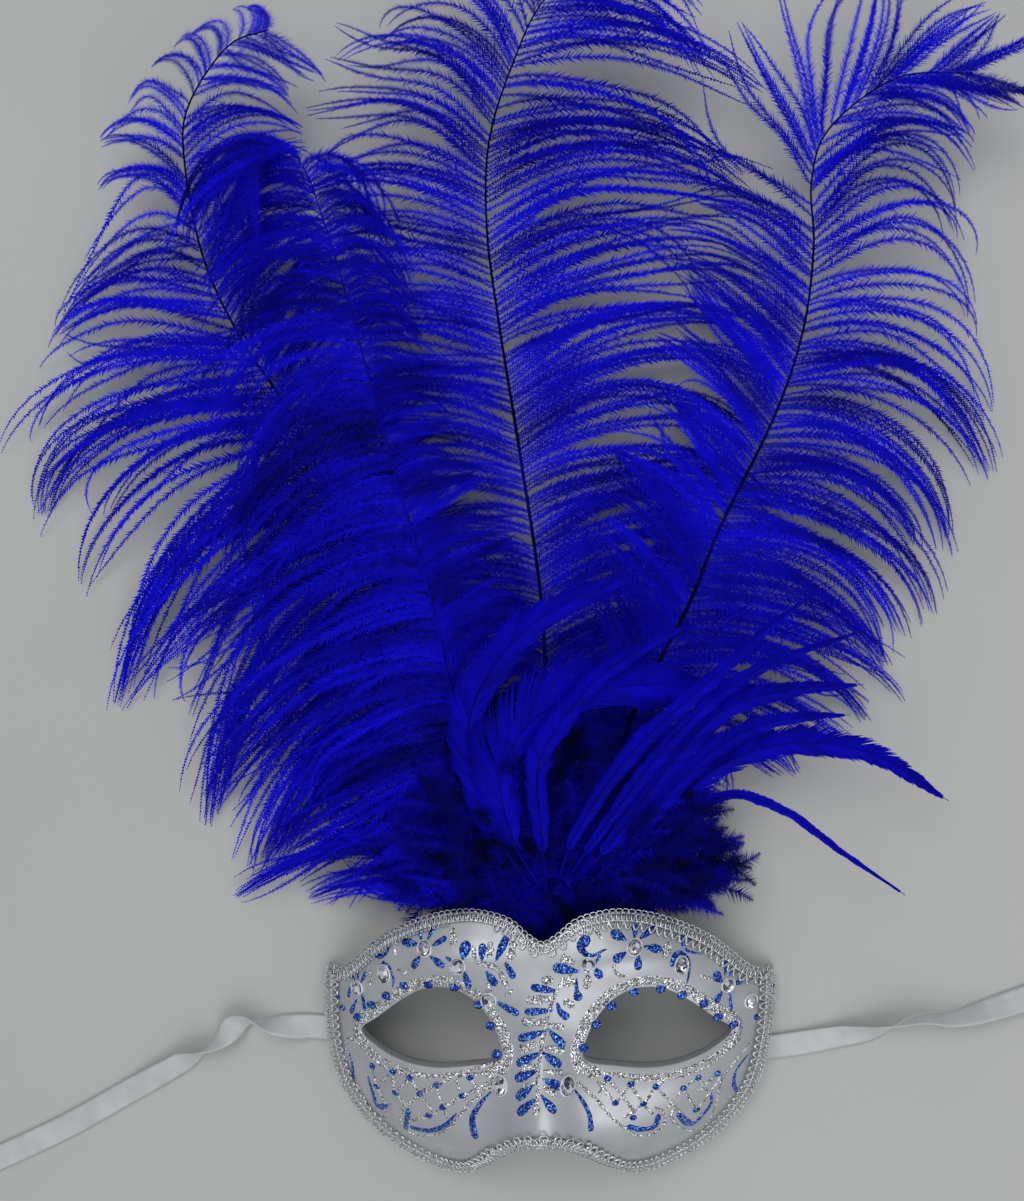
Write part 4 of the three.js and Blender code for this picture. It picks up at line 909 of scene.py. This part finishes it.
# Hackles: a bare quill from the fluff, then a slim vane of the given width, along a way of six points
hackles = {
    "hackle_long": {"width": 15, "way": [
        (-6, 60, 35.5), (-22, 90, 47), (-28, 126, 49), (-12, 156, 49), (12, 173, 48), (40, 184, 47)]},
    "hackle_broad": {"width": 24, "way": [
        (-2.6, 61, 36.5), (-12, 82, 47), (-15, 108, 50.5), (2, 131, 51), (34, 140, 50), (68, 138, 48)]},
    "hackle_mid": {"width": 10, "way": [
        (1, 60, 34), (0, 84, 50), (0, 112, 54), (18, 139, 54), (38, 154, 53), (58, 164, 52)]},
    "hackle_spike": {"width": 7, "way": [
        (5, 60, 34), (14, 84, 51), (36, 116, 56.5), (66, 143, 55), (87, 162, 53), (107, 177, 51)]},
    "hackle_dart": {"width": 6.5, "way": [
        (8, 60, 33), (22, 82, 49), (50, 119, 52.5), (75, 141, 51), (100, 153, 49), (125, 161, 46)]},
    "hackle_blade": {"width": 11, "way": [
        (12, 60, 34), (28, 80, 46), (52, 112, 48), (72, 131, 46), (98, 138, 44), (126, 140, 42)]},
    "hackle_side": {"width": 9, "way": [
        (18, 60, 34.5), (35, 79, 43), (58, 107, 45), (80, 122, 43.5), (100, 127, 42.5), (121, 128, 41)]},
    "hackle_droop": {"width": 13, "way": [
        (23, 60, 32), (40, 77, 38), (66, 105, 38), (96, 116, 37), (130, 112, 34), (163, 92, 28)]},
    "hackle_thin": {"width": 4, "way": [
        (26, 58, 27), (42, 72, 33), (70, 94, 33), (95, 89, 31), (120, 71, 26), (148, 51, 16)]},
}


# Barbs: each is a curved spine edged with barbules, small triangles that lean forward from it
comb = {"arch": 0.05, "sway": 9, "pull": 0.85, "gather": 5, "wave": 0.16, "missing": 0.06, "strayTurn": 34,
        "steps": 100, "barbule": 4.3, "crossing": 0.3, "fall": 1.6, "last": 0.997, "shades": (0.24, 0.12),
        "longest": 1.1, "reachDrift": 0.1, "endRise": 2.5, "wander": 1.7, "jitter": 0.6, "lateDrift": 0.25,
        "waveJitter": 0.4, "waveTurns": (1.2, 0.5), "pulled": (0.5, 1.1), "gapDrift": 0.25,
        "thinFrom": 0.6, "thinOver": 0.2, "darkest": 0.1, "apart": 0.8, "foot": (0.35, 4),
        "tip": (1.1, 1.02, 1.8), "seed": 21}
# How many barbs it takes for each drifting value to change
runs = {"reach": 8, "lean": 7, "late": 10, "wave": 4, "turns": 6, "gap": 6, "tone": 5}
barbule = {"size": (0.55, 1.15), "forward": (0.6, 1.4), "lowest": 0.15}
quill = {"clear": 4.0, "glued": (16, 26, 36), "foot": 1.7, "tip": 0.35, "sides": 7, "steps": 90,
         "thinning": 0.7, "flat": 0.8, "dark": 0.04, "lit": 0.42}


def barbules(paths, reach, rng, tone, tipTone=0.12, forward=1.15, lift=0.35):
    # paths (barbs, steps + 1, 3). Every span of a spine carries a triangle to the left and one to the
    # right: its apex lies reach away, turned forward along the barb, higher or lower by chance
    barbs, rows, _ = paths.shape
    way = unit(np.gradient(paths, axis=1))
    middle = (paths[:, 1:] + paths[:, :-1]) / 2
    heading = unit(way[:, 1:] + way[:, :-1])
    beside = unit(np.cross((0, 0, 1), heading))
    points, shades = [paths.reshape(-1, 3)], [np.repeat(tone, rows)]
    here = np.arange(barbs)[:, None] * rows + np.arange(rows - 1)
    triangles = []
    for side in (1, -1):
        size = reach * rng.uniform(*barbule["size"], middle.shape[:2])[..., None]
        tilt = rng.normal(0, lift, middle.shape[:2])[..., None]
        ahead = heading * forward * rng.uniform(*barbule["forward"], size.shape)
        apex = middle + size * unit(side * beside + ahead + tilt * np.array([0, 0, 1.0]))
        start = barbs * rows + (0 if side > 0 else here.size)
        number = start + np.arange(here.size).reshape(here.shape)
        corners = (here, here + 1, number) if side > 0 else (here + 1, here, number)
        triangles.append(np.stack(corners, -1).reshape(-1, 3))
        points.append(apex.reshape(-1, 3))
        shades.append(np.repeat(tone, rows - 1) + tipTone)
    points = np.vstack(points)
    points[:, 2] = np.maximum(points[:, 2], barbule["lowest"])
    return points, np.vstack(triangles), np.clip(np.concatenate(shades), 0, 1)


behind = {"margin": 3, "clear": 1.2, "lowest": 0.2}


def behindFace(points):
    # Points over the mask are lowered until they lie behind its moulded wall
    x, y = points[:, 0], points[:, 1]
    side = np.minimum(np.abs(x), shellMesh["side"])
    over = (y < readTable(topEdge, "x", "y", side) + behind["margin"]) & (np.abs(x) < shellMesh["side"])
    deepest = np.maximum(faceHeight(x, y) - wall - behind["clear"], behind["lowest"])
    return np.column_stack([x, y, np.where(over, np.minimum(points[:, 2], deepest), points[:, 2])])


def plumeLine(rootX, shaft):
    # The shaft's curve, from the quill's glued points behind the forehead to the tip
    glued = [(rootX, y, onFace(np.array([rootX, y], float), -quill["clear"])[2]) for y in quill["glued"]]
    return curveThrough(glued + shaft)


def barbPaths(line, row, at, side, steps, rng):
    # A barb leaves the shaft at an angle and turns to hang at its end heading, gathering into wisps
    read = lambda column: readTable(row["barbs"], "at", column, at)
    count = len(at)
    start = along(line, at)
    way = headingAt(line, at)
    uneven = comb["longest"] + comb["reachDrift"] * drift(rng, count, runs["reach"])
    uneven = uneven - row["uneven"] * rng.random(count)**2
    reach = read("left" if side > 0 else "right") * uneven
    begin = np.arctan2(way[:, 1], way[:, 0]) + side * np.radians(read("leave"))
    end = np.radians(read("hangLeft" if side > 0 else "hangRight"))
    turn = (end - begin + np.pi) % (2 * np.pi) - np.pi
    endZ = read("leftZ" if side > 0 else "rightZ") + rng.uniform(0, comb["endRise"], count)
    t = (np.arange(steps) + 0.5) / steps
    stray = (rng.random(count) < row["stray"]) * rng.uniform(-1, 1, count) * comb["strayTurn"]
    lean = drift(rng, count, runs["lean"]) * comb["wander"] + rng.normal(0, comb["jitter"], count)
    lean = comb["sway"] * lean + stray
    sway = np.radians(lean)[:, None] * t
    late = np.interp(at, *row["bend"]) * (1 + comb["lateDrift"] * drift(rng, count, runs["late"]))
    wave = comb["wave"] * (drift(rng, count, runs["wave"]) + comb["waveJitter"] * rng.normal(0, 1, count))
    turns, turnsDrift = comb["waveTurns"]
    turns = turns + turnsDrift * drift(rng, count, runs["turns"])
    wave = wave[:, None] * np.sin(2 * np.pi * t * turns[:, None])
    heading = begin[:, None] + turn[:, None] * t**late[:, None] + sway + wave
    span = (reach / steps)[:, None]
    k = np.arange(steps + 1) / steps
    zero = np.zeros((count, 1))
    x = start[:, :1] + np.hstack([zero, np.cumsum(np.cos(heading) * span, 1)])
    y = start[:, 1:2] + np.hstack([zero, np.cumsum(np.sin(heading) * span, 1)])
    fall = (endZ - start[:, 2])[:, None] * k**comb["fall"]
    z = start[:, 2:] + fall + comb["arch"] * reach[:, None] * np.sin(np.pi * k)
    paths = np.stack([x, y, z], -1)
    group = np.cumsum(rng.random(count) < 1 / comb["gather"])
    lead = np.array([np.flatnonzero(group == g)[(group == g).sum() // 2] for g in group])
    pull = comb["pull"] * rng.uniform(*comb["pulled"], count)[:, None, None] * (k**2)[None, :, None]
    twist = comb["crossing"] * rng.normal(0, 1, count)[:, None, None] * np.sin(np.pi * k)[None, :, None]
    return paths + (paths[lead] - paths) * (pull + twist)


def ostrichPlume(name, row, seed):
    # Barbs at uneven shares of the shaft on both sides, crowd setting how the gaps widen towards the tip,
    # and the shaft itself, a tube that thins towards the tip and is dark for the share that shows
    rng = np.random.default_rng(seed)
    line = plumeLine(row["rootX"], row["shaft"])
    steps, count, bare = comb["steps"], row["count"], row["downy"]
    parts = []
    for side in (1, -1):
        share = (np.arange(count) + rng.uniform(0, comb["apart"], count)) / count
        at = bare + (comb["last"] - bare) * np.sort(share)**row["crowd"]
        thinned = comb["missing"] + row["sparse"] * np.clip(
            (at - comb["thinFrom"]) / comb["thinOver"], 0, 1)
        at = at[rng.random(count) + comb["gapDrift"] * drift(rng, count, runs["gap"]) > thinned]
        paths = barbPaths(line, row, at, side, steps, rng)
        k = np.arange(steps) / steps
        (least, growth), (most, drop, late) = comb["foot"], comb["tip"]
        size = comb["barbule"] * np.minimum(1, least + growth * k) * (most - drop * k**late)
        wide, narrow = comb["shades"]
        tone = row["shade"] + wide * drift(rng, len(at), runs["tone"]) + narrow * rng.normal(0, 1, len(at))
        tone = np.clip(tone, comb["darkest"], 1)
        parts.append(barbules(paths, size[None, :, None], rng, tone))
    at = np.linspace(0, 1, quill["steps"])
    wide = 2 * (quill["foot"] + (quill["tip"] - quill["foot"]) * at**quill["thinning"])
    shown = np.append(np.repeat(at, quill["sides"]), [0, 1]) < row["shown"]
    parts.append(sweep(ringsAlong(along(line, at), wide * quill["flat"], wide, quill["sides"]),
                       tone=np.where(shown, quill["dark"], quill["lit"])))
    points, triangles, tone = joined(parts)
    piece = meshPiece(f"{name}_barbs", behindFace(points), triangles, "plume", tone)
    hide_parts(name)


for seed, (name, row) in enumerate(plumes.items()):
    ostrichPlume(name, row, comb["seed"] + seed)
print("plumes")


# Hackles: the vane is many fine barbs side by side, each a narrow strip that curves towards the tip
vane = {"bare": 0.16, "fuller": 1.45, "spacing": 0.42, "wide": 0.75, "steps": 5, "lean": 34, "roof": 0.22,
        "quill": 0.8, "split": 0.16, "tilt": 0.16, "least": 0.8, "shade": 0.66, "overlap": 0.03,
        "reach": 0.985, "form": (0.06, 0.92, 0.85, 0.75), "clumps": 2.2, "clump": 12, "jitter": 0.05,
        "closing": 0.35,
        "size": (0.86, 1.05), "curve": (1.25, 0.5), "uneven": 0.12, "taper": 0.75, "shades": (0.16, 0.08),
        "darkest": 0.2, "shadeRun": 7, "quillFlat": 0.7, "quillTone": 0.3,
        "quillSides": 6, "quillSteps": 40, "apart": 0.6, "seed": 61}


def hackleFeather(name, width, way, seed):
    # Barbs leave the quill at an angle, curve forward and fall away from it like a roof; each is a strip
    # that narrows to its end, and their reach swells and closes along the vane as a sine does
    rng = np.random.default_rng(seed)
    line = curveThrough(way)
    length = lengthsOf(line)[-1]
    count = int(length * (1 - vane["bare"]) / vane["spacing"])
    parts = []
    for side in (1, -1):
        v = (np.arange(count) + rng.uniform(0, vane["apart"], count)) / count
        at = vane["bare"] - vane["overlap"] + (1.02 - vane["bare"]) * v * vane["reach"]
        start, heading = along(line, at), headingAt(line, at)
        beside = unit(np.cross((0, 0, 1), heading)) * side
        begin, rest, early, blunt = vane["form"]
        half = vane["fuller"] * width / 2 * np.sin(np.pi * np.clip(begin + rest * v, 0, 1)**early)**blunt
        split = vane["split"] * np.round(drift(rng, count, vane["clump"]) * vane["clumps"]) / 2
        lean = np.radians(vane["lean"]) * (1 + split + vane["jitter"] * rng.normal(0, 1, count))
        lean = lean * (1 - vane["closing"] * v)
        size = np.maximum(half, vane["least"]) / np.sin(np.radians(vane["lean"]))
        size = size * rng.uniform(*vane["size"], count)
        k = np.linspace(0, 1, vane["steps"] + 1)[None, :]
        bend = lean[:, None] * (vane["curve"][0] - vane["curve"][1] * k)
        forward = np.cumsum(np.cos(bend), 1) * (size / (vane["steps"] + 1))[:, None]
        aside = np.cumsum(np.sin(bend), 1) * (size / (vane["steps"] + 1))[:, None]
        forward, aside = forward - forward[:, :1], aside - aside[:, :1]
        path = start[:, None] + heading[:, None] * forward[..., None] + beside[:, None] * aside[..., None]
        path[..., 2] -= vane["roof"] * aside + vane["uneven"] * rng.random(count)[:, None]
        cross = unit(np.cross((0, 0, 1), unit(np.gradient(path, axis=1))))
        wide = (vane["wide"] * (1 - vane["taper"] * k**3))[..., None] / 2
        tilt = np.array([0, 0, vane["tilt"]])
        points = np.stack([path - cross * wide - tilt, path + cross * wide + tilt], 2).reshape(-1, 3)
        rows = 2 * (vane["steps"] + 1)
        a = (np.arange(count)[:, None] * rows + 2 * np.arange(vane["steps"])).ravel()
        triangles = np.vstack([np.stack([a, a + 2, a + 3], -1), np.stack([a, a + 3, a + 1], -1)])
        wander, chance = vane["shades"]
        tone = vane["shade"] + wander * drift(rng, count, vane["shadeRun"])
        tone = tone + chance * rng.normal(0, 1, count)
        tone = np.repeat(np.clip(tone, vane["darkest"], 1), rows)
        parts.append((points, triangles[:, ::-1], tone))
    at = np.linspace(0, 1, vane["quillSteps"])
    wide = 2 * vane["quill"] * (1 - vane["taper"] * at) * vane["quillFlat"]
    parts.append(sweep(ringsAlong(along(line, at), wide, wide, vane["quillSides"]), tone=vane["quillTone"]))
    points, triangles, tone = joined(parts)
    piece = meshPiece(f"{name}_vane", points, triangles, "hackle", tone)
    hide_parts(name)


for seed, (name, row) in enumerate(hackles.items()):
    hackleFeather(name, row["width"], row["way"], vane["seed"] + seed)
print("hackles")


# Marabou fluff: soft combs that spring from the lobes round the foot of the plumes
tuft = {"x": 5, "y": 53, "z": 29, "inset": 6, "thick": 9, "low": 0.2, "swell": 0.72}
tuftLobes = table("heading reach startZ endZ wide", (170, 60, 28, 20, 22), (145, 66, 34, 29, 29),
                  (119, 63, 38, 40, 29), (92, 58, 39, 44, 29), (66, 60, 38, 42, 29), (41, 66, 35, 37, 29),
                  (15, 70, 31, 26, 26), (90, 54, 21, 9, 52))
fluff = {"perLobe": 165, "steps": 52, "long": (11, 28), "barbule": 6.5, "head": 460, "headLong": (9, 20),
         "within": (-0.3, 0.55), "rise": (0.08, 0.25), "curl": 0.75, "sink": 0.45, "form": (0.15, 0.8),
         "tone": (0.3, 0.2), "darkest": 0.05, "outTo": 0.85, "fan": 0.9, "turn": 0.34, "shorter": 0.35,
         "outward": 0.5, "longest": 1.1, "settle": 3, "seed": 7}
tuftHead = {"wide": 29, "deep": 14, "high": 6, "y": 51, "z": 30}


def fluffCombs(start, heading, size, rng):
    # Combs from their starts: each curls sideways, and sinks a little towards its end
    count, steps = len(heading), fluff["steps"]
    rise = rng.normal(*fluff["rise"], count)
    swirl = rng.normal(0, fluff["curl"], count)
    k = np.linspace(0, 1, steps + 1)[None, :]
    turn = heading[:, None] + swirl[:, None] * k
    climb = rise[:, None] - fluff["sink"] * k
    move = np.stack([np.cos(turn), np.sin(turn), climb], -1) * (size / steps)[:, None, None]
    paths = start[:, None] + np.cumsum(move, 1)
    begin, rest = fluff["form"]
    reach = (fluff["barbule"] * np.sin(np.pi * (begin + rest * k[:, :-1])))[..., None]
    shade, chance = fluff["tone"]
    tone = np.clip(shade + chance * rng.normal(0, 1, count), fluff["darkest"], 1)
    return barbules(paths, reach, rng, tone, tipTone=0.03, forward=0.7, lift=0.6)


def marabouFluff():
    # Combs start at chance places in the lobes, which swell along their headings, and in the oval head
    rng = np.random.default_rng(fluff["seed"])
    count = fluff["perLobe"]
    parts = []
    for lobe in tuftLobes:
        angle = np.radians(lobe["heading"])
        ahead = np.array([np.cos(angle), np.sin(angle), 0])
        beside = np.array([-ahead[1], ahead[0], 0])
        t = rng.uniform(0.0, fluff["outTo"], count)
        swell = np.sin(np.pi * (tuft["low"] + tuft["swell"] * t))
        offset = rng.uniform(-0.5, 0.5, count)
        base = lobe["startZ"] + (tuft["z"] - lobe["startZ"]) * np.maximum(0, 1 - fluff["settle"] * t)
        start = (np.array([tuft["x"], tuft["y"], 0]) + ahead * (tuft["inset"] + lobe["reach"] * t)[:, None]
                 + beside * (offset * lobe["wide"] * swell)[:, None])
        start[:, 2] = base + (lobe["endZ"] - base) * t
        start[:, 2] += tuft["thick"] * swell * rng.uniform(*fluff["within"], count)
        heading = angle + offset * fluff["fan"] + rng.normal(0, fluff["turn"], count)
        size = rng.uniform(*fluff["long"], count) * (fluff["longest"] - fluff["shorter"] * t)
        parts.append(fluffCombs(start, heading, size, rng))
    count = fluff["head"]
    turn, far = rng.uniform(0, 2 * np.pi, count), np.sqrt(rng.random(count))
    start = np.stack([tuft["x"] + tuftHead["wide"] * far * np.cos(turn),
                      tuftHead["y"] + tuftHead["deep"] * far * np.sin(turn),
                      tuftHead["z"] + tuftHead["high"] * rng.uniform(-1, 1, count)], -1)
    heading = np.where(rng.random(count) < fluff["outward"], turn, rng.uniform(0, 2 * np.pi, count))
    parts.append(fluffCombs(start, heading, rng.uniform(*fluff["headLong"], count), rng))
    points, triangles, tone = joined(parts)
    return behindFace(points), triangles, tone


points, triangles, tone = marabouFluff()
tuftPiece = meshPiece("marabou_fluff", points, triangles, "marabou", tone)
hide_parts("marabou_tuft")
print("marabou")


# Stage: a plain pale floor, a broad soft light above the feathers and an even pale sky
stage = {"side": 6.0, "drop": 0.0004}
lamps = table("name x y z size power", ("key", -0.25, 0.75, 1.5, 1.1, 8.2),
              ("fill", 0.4, -0.8, 1.0, 1.2, 4.6))
sky = {"colour": colour(0.93, 0.96, 1.0), "strength": 0.48}


def addStage():
    # Each lamp is a disk turned to face the origin
    half = stage["side"] / 2
    mesh = bpy.data.meshes.new("floor")
    corners = ((-half, -half), (half, -half), (half, half), (-half, half))
    mesh.from_pydata([(x, y, -stage["drop"]) for x, y in corners], [], [(0, 1, 2, 3)])
    mesh.materials.append(looks["floor"])
    floor = bpy.data.objects.new("floor", mesh)
    bpy.context.scene.collection.objects.link(floor)
    for row in lamps:
        light = bpy.data.lights.new(row["name"], "AREA")
        light.shape = "DISK"
        light.size = row["size"]
        light.energy = row["power"]
        lamp = bpy.data.objects.new(row["name"], light)
        lamp.location = (row["x"], row["y"], row["z"])
        lamp.rotation_euler = lamp.location.to_track_quat("Z", "Y").to_euler()
        bpy.context.scene.collection.objects.link(lamp)
    world = bpy.data.worlds.new("sky")
    world.use_nodes = True
    background = world.node_tree.nodes["Background"]
    background.inputs["Color"].default_value = sky["colour"]
    background.inputs["Strength"].default_value = sky["strength"]
    bpy.context.scene.world = world


addStage()
bpy.context.scene.view_settings.view_transform = "Standard"

print("stage")
